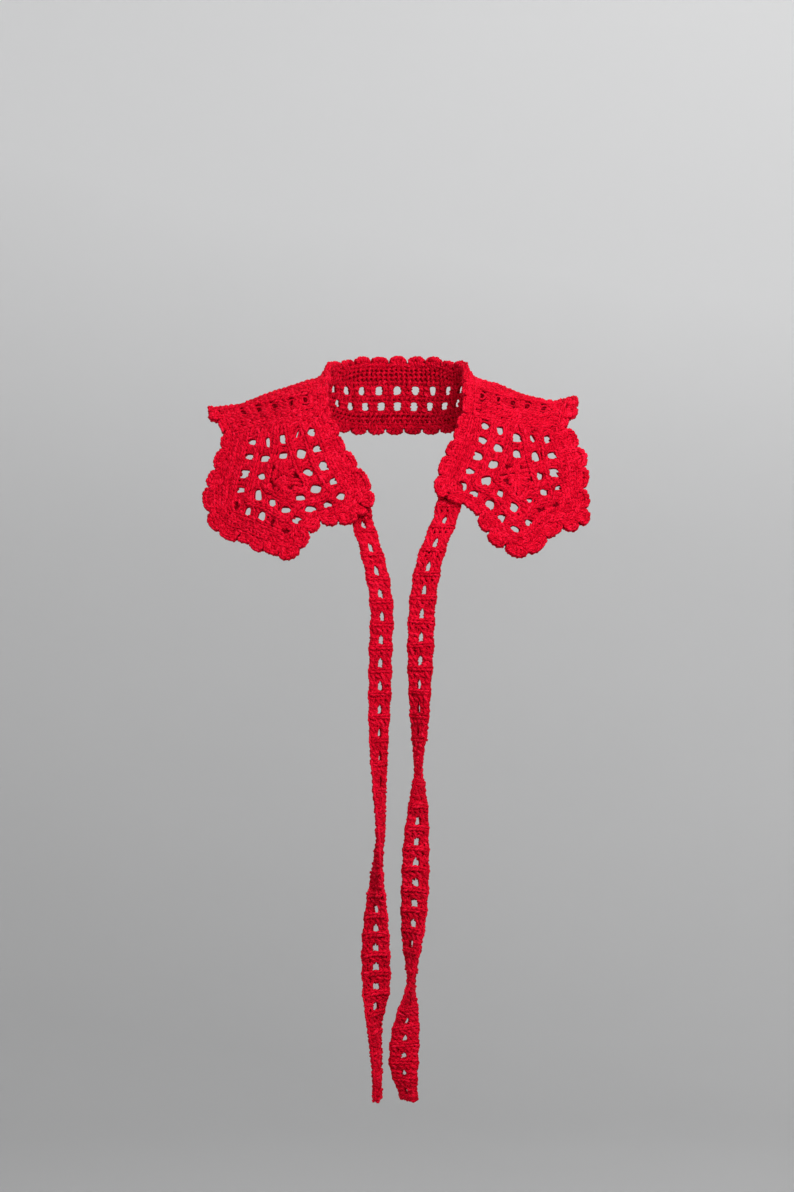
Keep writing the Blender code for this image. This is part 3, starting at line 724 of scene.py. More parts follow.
    outline = np.concatenate([panel.flat[-1], panel.flat[::-4, -1][1:], panel.flat[::4, 0][1:-1]])
    outline = spaced(np.concatenate([outline, outline[:1]]), 190)[:-1]
    to_cloth = lambda x, z: (on_front(x, z), normals(on_front(x, z)))
    ring_strands(yarn, holes, to_cloth)
    loose_loops(yarn, 45, outline, holes, to_cloth, 7.0)
    return finish_piece(name, "front_panel_" + name, yarn, ground("front_ground_" + name, outline, holes, to_cloth))


PIECES = {}


def runs_of(mask):
    """First and last places of each run of true values."""
    edges = np.flatnonzero(np.diff(np.concatenate([[0], mask.astype(int), [0]])))
    return list(zip(edges[::2], edges[1::2]))


def finish_piece(name, node, yarn, made):
    """Names, mounts and remembers the ground and the yarn of one piece."""
    cloth, area = made
    stitches = yarn.mesh(cloth.name.replace("ground", "stitches"))
    for piece in (cloth, stitches):
        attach(piece, "root")
        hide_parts(node)
    PIECES[node] = (cloth, stitches, area)
    return cloth, stitches


# ---------------------------------------------------------------- shoulder bands

class Band:
    def __init__(self, inner, outer, ends, side):
        first, last = on_front(np.array([inner[0], outer[0]], float), np.array([inner[1], outer[1]], float))
        columns = []
        for u in np.linspace(0, 1, 41):
            start = (1 - u) * np.array([inner[0], inner[1]]) + u * np.array([outer[0], outer[1]])
            start = on_front(start[0], start[1])
            plan = [(start[0], start[1])] + [(side * ((1 - u) * a[0] + u * b[0]), (1 - u) * a[1] + u * b[1]) for a, b in zip(BAND_NECK, ends)]
            plan = curve(plan, 121)
            columns.append(spaced(on_plan(plan[:, 0], plan[:, 1]), 91))
        self.cloth = Patch(np.stack(columns, 1))
        self.length = np.array([run_of(c)[-1] for c in columns])
        self.width = run_of(self.cloth.P[30])[-1]

    def rows(self, s):
        """The line at a distance from the front panel, over the part of the band that is deeper than that."""
        s = np.broadcast_to(s, 161)
        u = np.linspace(0, 1, 161)
        depth = np.interp(u, np.linspace(0, 1, 41), self.length)
        keep = depth > s + 1.5
        return u[keep], *self.cloth.at(u[keep], (s / depth)[keep])


BAND_BRAIDS = (2.6, 7.7, 12.8, 18.0, 37.2, 53.2, 68.8, 82.6)
BAND_POSTS = ((39.8, 50.6), (55.8, 66.2), (71.4, 80.0))
EYELETS = (20.6, 34.8)


def make_band(name, band, eyelets):
    yarn, holes = Yarn(), []
    for s in BAND_BRAIDS:
        u, P, N = band.rows(s + 0.4 * np.sin(11 * np.linspace(0, 1, 161) + rng.uniform(0, 6)))
        if len(u) > 8:
            braid(yarn, P, N, 4.9, start=0.6, end=0.6, lift=rng.uniform(0.1, 0.6))
            core(yarn, P, N, 1.0, 0.6)
    u = np.linspace(0, 1, 161)
    depth = np.interp(u, np.linspace(0, 1, 41), band.length)
    for low, high in BAND_POSTS:
        # Where the band ends before the row does, its posts are shorter.
        for first, last in runs_of(depth > low + 3.6):
            if last - first > 3:
                span, room = u[first:last], depth[first:last]
                line = band.cloth.at(span, low / room)
                post_row(yarn, line, band.cloth.at(span, np.minimum(high, room - 1.0) / room), start=0.3, end=0.3, reach=0.8)
    P, N = band.cloth.at(u, 1 - 2.0 / np.interp(u, np.linspace(0, 1, 41), band.length))
    braid(yarn, P, N, 4.3, start=0.6, end=0.6)
    u, P, N = band.rows(EYELETS[0])
    _, Q, M = band.rows(EYELETS[1])
    run = run_of((P + Q) / 2)
    gaps = []
    for place, down, wide in eyelets:
        centre = np.interp(place, u, run)
        gaps.append((centre - wide - 1.4, centre + wide + 1.4))
        holes.append(opening((place * band.width, down), ((wide + 0.9, 0), (0, 3.6)), 2.4, 12, skew=rng.uniform(-0.2, 0.2)))
    post_row(yarn, (P, N), (Q, M), gaps, start=0.5, end=0.5, reach=1.0)
    deep = lambda a: np.interp(a / band.width, np.linspace(0, 1, 41), band.length)
    across = np.linspace(0, band.width, 28)
    side = lambda a: np.stack([np.full(28, a), np.linspace(0, float(deep(a)), 28)], -1)
    outline = np.concatenate([np.stack([across, np.zeros(28)], -1)[:-1], side(band.width)[:-1],
                              np.stack([across, deep(across)], -1)[:0:-1], side(0.0)[:0:-1]])
    to_cloth = lambda a, b: band.cloth.at(a / band.width, b / deep(a))
    ring_strands(yarn, holes, to_cloth, grow=0.9, radius=0.85)
    loose_loops(yarn, 60, outline, holes, to_cloth, 5.0)
    return finish_piece(name, "shoulder_band_" + name, yarn, ground("band_ground_" + name, outline, holes, to_cloth))


# ---------------------------------------------------------------- back yoke

class Yoke:
    def __init__(self, left, right):
        nape = [(-x, y) for x, y in NAPE] + NAPE[-2::-1]
        nape = curve(nape, 121)
        self.nape = on_plan(nape[:, 0], nape[:, 1])
        top = np.concatenate([left.cloth.P[-1][::-1], self.nape[1:-1], right.cloth.P[-1]])
        top = spaced(top, 241)
        columns = []
        for p in top:
            hem_x = p[0] * BACK_HALF_WIDTH / RIGHT_BAND_OUTER[-1][0]
            hem = BACK_HEM + (BACK_HEM_SIDE - BACK_HEM) * smooth(40, 85, abs(hem_x))
            end = on_back(hem_x, min(hem, section(hem_x)[0] - BACK_END_DROP))
            t = np.linspace(0, 1, 61)[1:]
            line = np.concatenate([p[None], on_plan(p[0] + (end[0] - p[0]) * t, p[1] + (end[1] - p[1]) * t)])
            columns.append(spaced(line, 61))
        self.cloth = Patch(np.stack(columns, 1))
        self.depth = np.array([run_of(c)[-1] for c in columns])
        self.hem_length = run_of(self.cloth.P[-1])[-1]

    def deep(self, u):
        return np.interp(u, np.linspace(0, 1, len(self.depth)), self.depth)


def make_yoke(yoke):
    yarn, holes = Yarn(), []
    u = np.linspace(0, 1, 900)
    depth = yoke.deep(u)

    def hem_row(d, room=8.4):
        inside_row = np.where(depth > d + room)[0]
        if len(inside_row) < 20:
            return None
        span = u[inside_row[0]:inside_row[-1] + 1]
        return span, *yoke.cloth.at(span, 1 - d / yoke.deep(span))

    for d in (2.6, 7.6, 24.0, 40.6, 57.2):
        row = hem_row(d, 2.5 if d > 3 else 1.0)
        if row:
            braid(yarn, row[1], row[2], 4.9, start=0.6, end=0.6)
            core(yarn, row[1], row[2])
            core(yarn, row[1], -row[2])
    for e in (2.6, 7.6):
        keep = depth > e + 4.0
        P, N = yoke.cloth.at(u[keep], e / depth[keep])
        braid(yarn, P, N, 4.9, start=0.6, end=0.6)
        core(yarn, P, N)
    width, tall = 340.0, 75.0
    for low in (10.0, 26.6, 43.2):
        high = low + 11.4
        row = hem_row(low, 12.0)
        if not row:
            continue
        span, P, N = row
        room = yoke.deep(span)
        Q, M = yoke.cloth.at(span, 1 - np.minimum(high, room - 9.0) / room)
        run = run_of((P + Q) / 2)
        count = max(1, int((run[-1] - 6) // 16.5))
        step = run[-1] / count
        gaps = []
        for k in range(count):
            centre = (k + 0.5) * step
            place = float(np.interp(centre, run, span))
            if yoke.deep(place) < high + 9.5:
                continue
            half = 4.0 + rng.uniform(-0.5, 0.3)
            gaps.append((centre - half, centre + half))
            d = (low + high) / 2
            v = lambda a: 1 - d / float(yoke.deep(a))
            here = yoke.cloth.at(place, v(place))[0]
            there = yoke.cloth.at(place + 0.004, v(place + 0.004))[0]
            scale = half / max(float(np.linalg.norm(there - here)), 1e-6)
            axis = np.array([0.004 * width, (v(place + 0.004) - v(place)) * tall]) * scale
            holes.append(opening((place * width, v(place) * tall), (axis, (0, 4.6 / float(yoke.deep(place)) * tall)), 2.7,
                                 pinch=rng.uniform(-0.2, 0.2)))
        post_row(yarn, (P, N), (Q, M), gaps, start=0.5, end=0.5, reach=0.8, both=True)
    corners = np.array([(0, 0), (width, 0), (width, tall), (0, tall), (0, 0)])
    outline = spaced(corners, 301)[:-1]
    to_cloth = lambda a, b: yoke.cloth.at(a / width, b / tall)
    ring_strands(yarn, holes, to_cloth)
    return finish_piece("back", "back_yoke", yarn, ground("back_ground", outline, holes, to_cloth))


# ---------------------------------------------------------------- shell edging

class Strip:
    """The cloth outside an edge: s runs along it at mid width, d outwards from it. The base runs with the cloth on its left."""

    def __init__(self, base, start_along=None, end_along=None):
        gaps = np.linalg.norm(np.diff(base, axis=0), axis=1)
        base = base[np.concatenate([[True], gaps > 0.05])]
        ahead = unit(np.diff(base, axis=0))
        run = run_of(base)
        points, along = [], []
        for i, p in enumerate(base):
            first = ahead[i - 1] if i else ahead[0]
            last = ahead[i] if i < len(ahead) else ahead[-1]
            turn = math.acos(float(np.clip(first @ last, -1, 1)))
            steps = 1 + int(turn / math.radians(14)) if turn > math.radians(25) else 1
            for k in range(steps):
                t = (k + 0.5) / steps if steps > 1 else 0.5
                points.append(p)
                along.append(unit(first * (1 - t) + last * t))
        points, along = np.array(points), np.array(along)
        reach = run_of(points)
        for end, vector, distance in ((0, start_along, reach), (1, end_along, reach[-1] - reach)):
            if vector is not None:
                t = smooth(0, 9, distance)[:, None]
                along = unit(vector * (1 - t) + along * t)
        N = normals(points)
        out = unit(np.cross(along, N))
        kernel = np.array([1, 3, 5, 3, 1]) / 13
        padded = np.concatenate([out[:1]] * 2 + [out] + [out[-1:]] * 2)
        out = unit(sum(w * padded[k:k + len(out)] for k, w in enumerate(kernel)))
        self.P, self.N, self.out = points, N, out
        self.s = run_of(points + out * 8)
        self.length = self.s[-1]
        self.base_run = reach

    def at(self, s, d):
        s, d = np.broadcast_arrays(np.asarray(s, float), np.asarray(d, float))
        P, N, out = (np.stack([np.interp(s, self.s, line[:, k]) for k in range(3)], -1) for line in (self.P, self.N, self.out))
        return P + unit(out) * d[..., None], unit(N)


def shells_along(strip, charted):
    """Every shell of an edging: its start, its end, how far the hollows at its two ends reach from the cloth's edge, and
    how far its crown does. Where the chart leaves room the shells are even, about 19 mm each."""
    result = []
    rows = list(charted) or [(0.0, 10.8, 14.4)]
    rows.append((strip.length, rows[0][1], 0.0))
    for (a, hollow, crown), (b, following, _) in zip(rows, rows[1:]):
        count = max(1, round((b - a) / 19.0)) if b - a > 32 else 1
        for k in range(count):
            ends = [a + (b - a) * (k + e) / count for e in (0, 1)]
            hollows = [hollow if k == 0 else min(hollow, 10.8), following if k == count - 1 else min(hollow, 10.8)]
            result.append((*ends, *hollows, crown + (rng.uniform(-0.4, 0.4) if count > 1 else 0.0)))
    return result


def make_edging(name, node, strip, charted=(), both=False):
    """Shell edging: a braid along the cloth's edge, then a fan of posts in each shell with a braid round its rim."""
    yarn = Yarn()
    s = np.linspace(0, strip.length, 700)
    P, N = strip.at(s, 1.5 + 0.35 * np.sin(s / 5.0))
    braid(yarn, P, N, 4.2, start=0.4, end=0.4, lift=0.25)
    rim = np.zeros((0, 2))
    for a, b, first, last, crown in shells_along(strip, charted):
        wide, middle = b - a, (a + b) / 2
        lift = rng.uniform(-0.1, 0.5)
        # The shell's outermost line, and inside it the middle line of the chain round its rim.
        turn = np.linspace(0.03, math.pi - 0.03, 33)
        level = first + (last - first) * (1 - np.cos(turn)) / 2
        out = np.stack([middle - wide / 2 * np.cos(turn), level + (crown - (first + last) / 2) * np.sin(turn) ** 0.9], -1)
        slope = unit(np.gradient(out, axis=0))
        inward = np.stack([slope[:, 1], -slope[:, 0]], -1)
        line = out + inward * 2.9
        # The chain dives to the foot of the hollow at each end.
        path = line
        if crown - first > 1.2:
            path = np.concatenate([[(a + 1.5, max(first - 8.0, 3.4)), (a + 2.2, max(first - 5.0, 4.6))], path])
        if crown - last > 1.2:
            path = np.concatenate([path, [(b - 2.2, max(last - 5.0, 4.6)), (b - 1.5, max(last - 8.0, 3.4))]])
        P, N = strip.at(np.clip(path[:, 0], 0.8, strip.length - 0.8), path[:, 1])
        braid(yarn, P, N, 4.1, 4.6, radius=1.06, lift=0.8 + lift)
        core(yarn, P, N, 1.0, 0.9)
        edge = out + inward * 1.5
        P, N = strip.at(np.clip(edge[:, 0], 0.8, strip.length - 0.8), edge[:, 1])
        core(yarn, P, N, 0.97, 0.1, 0.25, step=2.3)
        count = int(np.clip(round(wide / 3.9), 3, 7))
        f = (np.arange(count) + 0.5) / count
        top = np.stack([np.interp(f * 32, np.arange(33), (line + inward * 0.8)[:, k]) for k in (0, 1)], -1)
        P0, N0 = strip.at(middle + (f - 0.5) * wide * 0.55, 2.6 + 0.5 * np.abs(2 * f - 1))
        P1, N1 = strip.at(top[:, 0], np.maximum(top[:, 1], 4.6))
        w = np.stack([np.full(count, wide * 0.55 / count * 1.5), np.full(count, max(wide - 5, 5) / count * 1.3)], -1)
        posts(yarn, P0, P1, N0, N1, w, 1.0, both=both)
        rim = np.concatenate([rim, [(a + 0.01, first - 2.4)], (out + inward * 2.3)[1:-1:3], [(b - 0.01, last - 2.4)]])
    rim = rim[np.concatenate([[True], np.linalg.norm(np.diff(rim, axis=0), axis=1) > 0.1])]
    rim = np.concatenate([[(0.0, rim[0, 1])], rim, [(strip.length, rim[-1, 1])]])
    low = np.stack([np.linspace(strip.length, 0, max(8, int(strip.length / 3))), np.full(max(8, int(strip.length / 3)), 0.4)], -1)
    outline = np.concatenate([rim, low])
    return finish_piece(name, node, yarn, ground(name, outline, [], strip.at))


# ---------------------------------------------------------------- ties

class Tie:
    def __init__(self, cuts, marks):
        line = curve(cuts[:, [1, 2, 0]], 901)
        width, turn = hermite(cuts[:, 0], cuts[:, 3])(line[:, 2]), np.radians(hermite(cuts[:, 0], cuts[:, 4])(line[:, 2]))
        self.P = line
        self.side = np.stack([np.cos(turn), np.sin(turn), np.zeros_like(turn)], -1)
        self.N = unit(np.cross(np.gradient(line, axis=0), self.side))
        self.wide = width
        self.run = run_of(line)
        self.length = self.run[-1]
        # Ridges between the segments, from the heights of the openings.
        rank = np.arange(marks[0][0], marks[-1][0] + 1)
        z = np.interp(rank, [m[0] for m in marks], [m[1] for m in marks])
        self.openings = np.interp(-z, -line[:, 2], self.run)

    def at(self, w, l):
        """w is the part of the half width, -1 to 1, and l the length down the tie."""
        w, l = np.broadcast_arrays(np.asarray(w, float), np.asarray(l, float))
        P, N, side = (np.stack([np.interp(l, self.run, line[:, k]) for k in range(3)], -1) for line in (self.P, self.N, self.side))
        half = np.interp(l, self.run, self.wide) / 2
        return P + side * (w * half)[..., None], unit(N)

    def half(self, l):
        return np.interp(l, self.run, self.wide) / 2


def make_tie(name, tie):
    yarn, holes = Yarn(), []
    centres = tie.openings
    pitch = np.gradient(centres)
    ridges = centres + 0.27 * pitch
    first = [ridges[0] - pitch[0]]
    while first[0] > 3:
        first.insert(0, first[0] - pitch[0])
    ridges = np.array(first + list(ridges))
    last = ridges[-1]
    while last + pitch[-1] < tie.length - 2:
        last += pitch[-1]
        ridges = np.append(ridges, last)
    ridges = np.append(ridges, tie.length - 1.5)
    for a, b in zip(ridges, ridges[1:]):
        a = max(a, 0.5)
        room = b - a
        if room < 2.5:
            continue
        # A row of posts over the whole width, and under it two posts on each side of the opening. Where the tie shows
        # its reverse the openings are wider and squarer.
        facing = float(tie.side[int(np.searchsorted(tie.run, (a + b) / 2).clip(0, len(tie.side) - 1)), 0])
        turned = facing < 0
        half = float(tie.half((a + b) / 2))
        slot = (3.1 if turned else 2.3) * min(1, room / 16)
        inner = slot + 0.4
        quarter = (half - 1.2 - inner) / 4
        whole = np.array([-0.75, -0.25, 0.25, 0.75]) * (half - 1.0), (half - 1.0) * 0.52
        sides = np.array([-1, -1, 1, 1]) * (inner + quarter * np.array([3, 1, 1, 3])), quarter * 2.2
        opened = room > 12 and a + room > centres[0] and not -0.62 < facing < 0
        rows = [(0.06, 0.50, *whole), (0.43, 0.74, *(sides if opened else whole)), (0.70, 1.00, *(sides if opened else whole))]
        if room < 9:
            rows = [(0.0, 1.0, *whole)]
        for low, high, across, wide in rows:
            low, high = max(0.3, a + room * low), min(tie.length - 0.3, a + room * high)
            P0, N0 = tie.at(across / tie.half(low), np.full(4, low))
            P1, N1 = tie.at(across / tie.half(high), np.full(4, high))
            posts(yarn, P0, P1, N0, N1, wide, both=high - low > 6)
        if opened:
            if turned:
                holes.append(opening((0, a + room * 0.69), ((3.2, 0), (0, room * 0.25)), 3.0, 14, pinch=0.15, skew=rng.uniform(-0.15, 0.15)))
            else:
                holes.append(opening((0, a + room * 0.70), ((2.4, 0), (0, room * 0.25)), 2.3, 14, pinch=0.35, skew=rng.uniform(-0.1, 0.1)))
    slope = 1.2 if name == "left" else -1.2
    for r in ridges:
        r = min(max(r, 2.2), tie.length - 2.0)
        w = np.linspace(-1, 1, 40) * (1 - 1.0 / tie.half(r))
        P, N = tie.at(w, np.full_like(w, r) + rng.uniform(-0.6, 0.6) * w)
        braid(yarn, P, N, 4.4, 4.6, radius=1.0, lift=0.5, back=False)
        bow = rng.uniform(0.4, 1.6)
        P, N = tie.at(w * 0.93, np.clip(r + slope * w + bow * (w ** 2 - 0.5), 0, tie.length))
        braid(yarn, P, -N, 4.6, 4.6, radius=1.1, lift=0.5, back=False)
        core(yarn, P, -N, 1.0, 0.8)
    l = np.linspace(0.3, tie.length - 0.6, 320)
    outline = np.concatenate([np.stack([tie.half(l) - 1.8, l], -1), np.stack([-(tie.half(l[::-1]) - 1.8), l[::-1]], -1)])
    to_cloth = lambda w, l: tie.at(w / tie.half(l), l)
    ring_strands(yarn, holes, to_cloth, grow=1.2, radius=0.85)
    # The edges bulge a little at each ridge.
    bulge = 0.5 + 0.5 * np.cos(2 * math.pi * (np.interp(l, ridges, np.arange(len(ridges))) - 0.08))
    for sign in (-1, 1):
        P, N = tie.at(sign * (1 - (1.8 - 1.6 * bulge) / tie.half(l)), l)
        core(yarn, P, N, 1.0, 0.0, 0.45, step=2.1)
    # Where the tie turns its edge to the front it is rolled a little, so it is thicker there.
    for first, last in runs_of(np.abs(np.interp(l, tie.run, tie.side[:, 0])) < 0.45):
        P, N = tie.at(0.1 * np.sin(l[first:last] / 4), l[first:last])
        for face in (1, -1):
            braid(yarn, P, face * N, 6.0, 5.0, radius=1.15, lift=0.5, back=False)
            core(yarn, P, face * N, 1.1, 1.0, sway=0.6)
    return finish_piece(name, "tie_" + name, yarn, ground("tie_ground_" + name, outline, holes, to_cloth, grain=4.0))


# ---------------------------------------------------------------- materials

def node(tree, kind, **settings):
    made = tree.nodes.new(kind)
    for key, value in settings.items():
        setattr(made, key, value)
    return made


def maths(tree, operation, a, b=None, c=None):
    made = node(tree, "ShaderNodeMath", operation=operation)
    for i, value in enumerate((a, b, c)):
        if value is None:
            continue
        if isinstance(value, (int, float)):
            made.inputs[i].default_value = value
        else:
            tree.links.new(value, made.inputs[i])
    return made.outputs[0]


def yarn_material():
    made = bpy.data.materials.new("crochet_yarn_red")
    made.use_nodes = True
    tree = made.node_tree
    shader = tree.nodes["Principled BSDF"]
    uv = node(tree, "ShaderNodeUVMap", uv_map="yarn")
    split = node(tree, "ShaderNodeSeparateXYZ")
    tree.links.new(uv.outputs[0], split.inputs[0])
    along, around = split.outputs[0], split.outputs[1]
    # Three plies wound round each other: one turn of a ply in 7 mm.
    phase = maths(tree, "ADD", maths(tree, "MULTIPLY", around, 3.0), maths(tree, "MULTIPLY", along, 3.0 / 7.5))
    ply = maths(tree, "ABSOLUTE", maths(tree, "SINE", maths(tree, "MULTIPLY", phase, math.pi)))
    ply = maths(tree, "POWER", ply, 0.6)
    # Fibres lie along the plies, so the noise is stretched that way.
    join = node(tree, "ShaderNodeCombineXYZ")
    tree.links.new(maths(tree, "MULTIPLY", along, 0.35), join.inputs[0])
    tree.links.new(maths(tree, "MULTIPLY", phase, 5.0), join.inputs[1])
    fibre = node(tree, "ShaderNodeTexNoise")
    fibre.inputs["Scale"].default_value = 1.0
    fibre.inputs["Detail"].default_value = 3.0
    tree.links.new(join.outputs[0], fibre.inputs["Vector"])
    place = node(tree, "ShaderNodeTexCoord")
    fuzz = node(tree, "ShaderNodeTexNoise")
    fuzz.inputs["Scale"].default_value = 1400.0
    fuzz.inputs["Detail"].default_value = 3.0
    tree.links.new(place.outputs["Object"], fuzz.inputs["Vector"])
    broad = node(tree, "ShaderNodeTexNoise")
    broad.inputs["Scale"].default_value = 38.0
    broad.inputs["Detail"].default_value = 2.0
    tree.links.new(place.outputs["Object"], broad.inputs["Vector"])
    relief = maths(tree, "ADD", ply, maths(tree, "MULTIPLY", fibre.outputs["Fac"], 0.45))
    relief = maths(tree, "ADD", relief, maths(tree, "MULTIPLY", fuzz.outputs["Fac"], 0.35))
    bump = node(tree, "ShaderNodeBump")
    bump.inputs["Strength"].default_value = 0.8
    bump.inputs["Distance"].default_value = 0.00035
    tree.links.new(relief, bump.inputs["Height"])
    tree.links.new(bump.outputs[0], shader.inputs["Normal"])
    # Colour: painted shade deep in the grooves between the plies, painted highlight on the fibres that stand up, a
    # random unevenness along the yarn, and from the per-point attribute a random tone for each strand with painted
    # shade where the yarn dives between its neighbours.
    tone_and_painted_shade = node(tree, "ShaderNodeAttribute", attribute_name="tone_and_painted_shade")
    level = maths(tree, "ADD", maths(tree, "MULTIPLY", ply, 0.42), maths(tree, "MULTIPLY", fibre.outputs["Fac"], 0.36))
    level = maths(tree, "ADD", level, maths(tree, "MULTIPLY", tone_and_painted_shade.outputs["Fac"], 0.075))
    level = maths(tree, "ADD", level, maths(tree, "MULTIPLY", broad.outputs["Fac"], 0.22))
    # The ramp runs from the deep red of the painted shade through the yarn's own red to the pinkish red of the painted
    # highlight.
    ramp = node(tree, "ShaderNodeValToRGB")
    ramp.color_ramp.elements[0].position = 0.22
    ramp.color_ramp.elements[0].color = (0.17, 0.0004, 0.004, 1)
    ramp.color_ramp.elements[1].position = 0.98
    ramp.color_ramp.elements[1].color = (0.95, 0.012, 0.055, 1)
    middle = ramp.color_ramp.elements.new(0.62)
    middle.color = (0.66, 0.0012, 0.018, 1)
    tree.links.new(level, ramp.inputs[0])
    tree.links.new(ramp.outputs[0], shader.inputs["Base Color"])
    shader.inputs["Roughness"].default_value = 0.8
    shader.inputs["Specular IOR Level"].default_value = 0.03
    shader.inputs["Sheen Weight"].default_value = 0.18
    shader.inputs["Sheen Roughness"].default_value = 0.4
    shader.inputs["Sheen Tint"].default_value = (1.0, 0.06, 0.12, 1)
    return made


def ground_material():
    """The yarn deep between the stitches, coloured a dark red as painted shade."""
    made = bpy.data.materials.new("crochet_ground_red")
    made.use_nodes = True
    tree = made.node_tree
    shader = tree.nodes["Principled BSDF"]
    place = node(tree, "ShaderNodeTexCoord")
    strands = node(tree, "ShaderNodeTexNoise")
    strands.inputs["Scale"].default_value = 900.0
    strands.inputs["Detail"].default_value = 4.0
    tree.links.new(place.outputs["Object"], strands.inputs["Vector"])
    # Painted shade: the ground's dark reds stand for the shaded gaps between the stitches.
    ramp = node(tree, "ShaderNodeValToRGB")
    ramp.color_ramp.elements[0].position = 0.3
    ramp.color_ramp.elements[0].color = (0.09, 0.0003, 0.003, 1)
    ramp.color_ramp.elements[1].position = 0.8
    ramp.color_ramp.elements[1].color = (0.30, 0.0008, 0.009, 1)
    tree.links.new(strands.outputs["Fac"], ramp.inputs[0])
    tree.links.new(ramp.outputs[0], shader.inputs["Base Color"])
    bump = node(tree, "ShaderNodeBump")
    bump.inputs["Strength"].default_value = 0.9
    bump.inputs["Distance"].default_value = 0.0005
    tree.links.new(strands.outputs["Fac"], bump.inputs["Height"])
    tree.links.new(bump.outputs[0], shader.inputs["Normal"])
    shader.inputs["Roughness"].default_value = 0.9
    shader.inputs["Specular IOR Level"].default_value = 0.02
    return made


def backdrop_material():
    made = bpy.data.materials.new("studio_paper")
    made.use_nodes = True
    tree = made.node_tree
    shader = tree.nodes["Principled BSDF"]
    place = node(tree, "ShaderNodeTexCoord")
    grain = node(tree, "ShaderNodeTexNoise")
    grain.inputs["Scale"].default_value = 2.0
    tree.links.new(place.outputs["Object"], grain.inputs["Vector"])
    # Painted shade: darker towards the floor and a little darker on the left, as the light falls off downwards and
    # comes more from the right.
    split = node(tree, "ShaderNodeSeparateXYZ")
    tree.links.new(place.outputs["Object"], split.inputs[0])
    level = maths(tree, "MULTIPLY_ADD", split.outputs[2], 0.48, 0.61)
    level = maths(tree, "MULTIPLY_ADD", split.outputs[0], 0.09, level)
    level = maths(tree, "MULTIPLY_ADD", grain.outputs["Fac"], 0.06, level)
    ramp = node(tree, "ShaderNodeValToRGB")
    ramp.color_ramp.elements[0].color = (0.50, 0.50, 0.50, 1)
    ramp.color_ramp.elements[1].color = (0.90, 0.90, 0.90, 1)
    tree.links.new(level, ramp.inputs[0])
    tree.links.new(ramp.outputs[0], shader.inputs["Base Color"])
    shader.inputs["Roughness"].default_value = 0.95
    shader.inputs["Specular IOR Level"].default_value = 0.1
    return made


# ---------------------------------------------------------------- the studio

def make_studio():
    """A round pale bowl: a floor, a curved joint and a wall all round, so that every view has the same backdrop."""
    floor, radius, joint, top = -1.35, 4.4, 1.3, 3.2
    profile = [(0.0, floor), (1.2, floor), (2.2, floor)]
    profile += [(radius - joint + joint * math.sin(a), floor + joint - joint * math.cos(a)) for a in np.linspace(0, math.pi / 2, 14)]
    profile.append((radius, top))
    turns = 96
    co = [(r * math.cos(a), r * math.sin(a), z) for r, z in profile[1:] for a in np.linspace(0, 2 * math.pi, turns, endpoint=False)]
    co.append((0, 0, floor))
    index, sizes = [], []
    for i in range(len(profile) - 2):
        for j in range(turns):
            k = (j + 1) % turns
            index += [i * turns + j, i * turns + k, (i + 1) * turns + k, (i + 1) * turns + j][::-1]
            sizes.append(4)
    for j in range(turns):
        index += [len(co) - 1, j, (j + 1) % turns]
        sizes.append(3)
    bowl = mesh_object("studio_backdrop", np.array(co) / MM, np.array(index), np.array(sizes))
    bowl.data.materials.append(backdrop_material())
    return bowl


def area_light(name, place, aim, size, power, colour=(1, 1, 1)):
    light = bpy.data.lights.new(name, "AREA")
    light.shape = "RECTANGLE"
    light.size, light.size_y = size
    light.energy = power
    light.color = colour
    made = bpy.data.objects.new(name, light)
    made.location = place
    made.rotation_euler = (Vector(aim) - Vector(place)).to_track_quat("-Z", "Y").to_euler()
    bpy.context.scene.collection.objects.link(made)
    return made


def make_camera():
    data = bpy.data.cameras.new("camera")
    data.sensor_width = 36.0
    data.lens = 36.0 * (2600 / 0.97) / 1192
    data.clip_start, data.clip_end = 0.1, 30
    camera = bpy.data.objects.new("camera", data)
    camera.location = (0, -2.690, -0.200)
    camera.rotation_euler = (math.pi / 2, 0, 0)
    bpy.context.scene.collection.objects.link(camera)
    bpy.context.scene.camera = camera


# ---------------------------------------------------------------- the collar

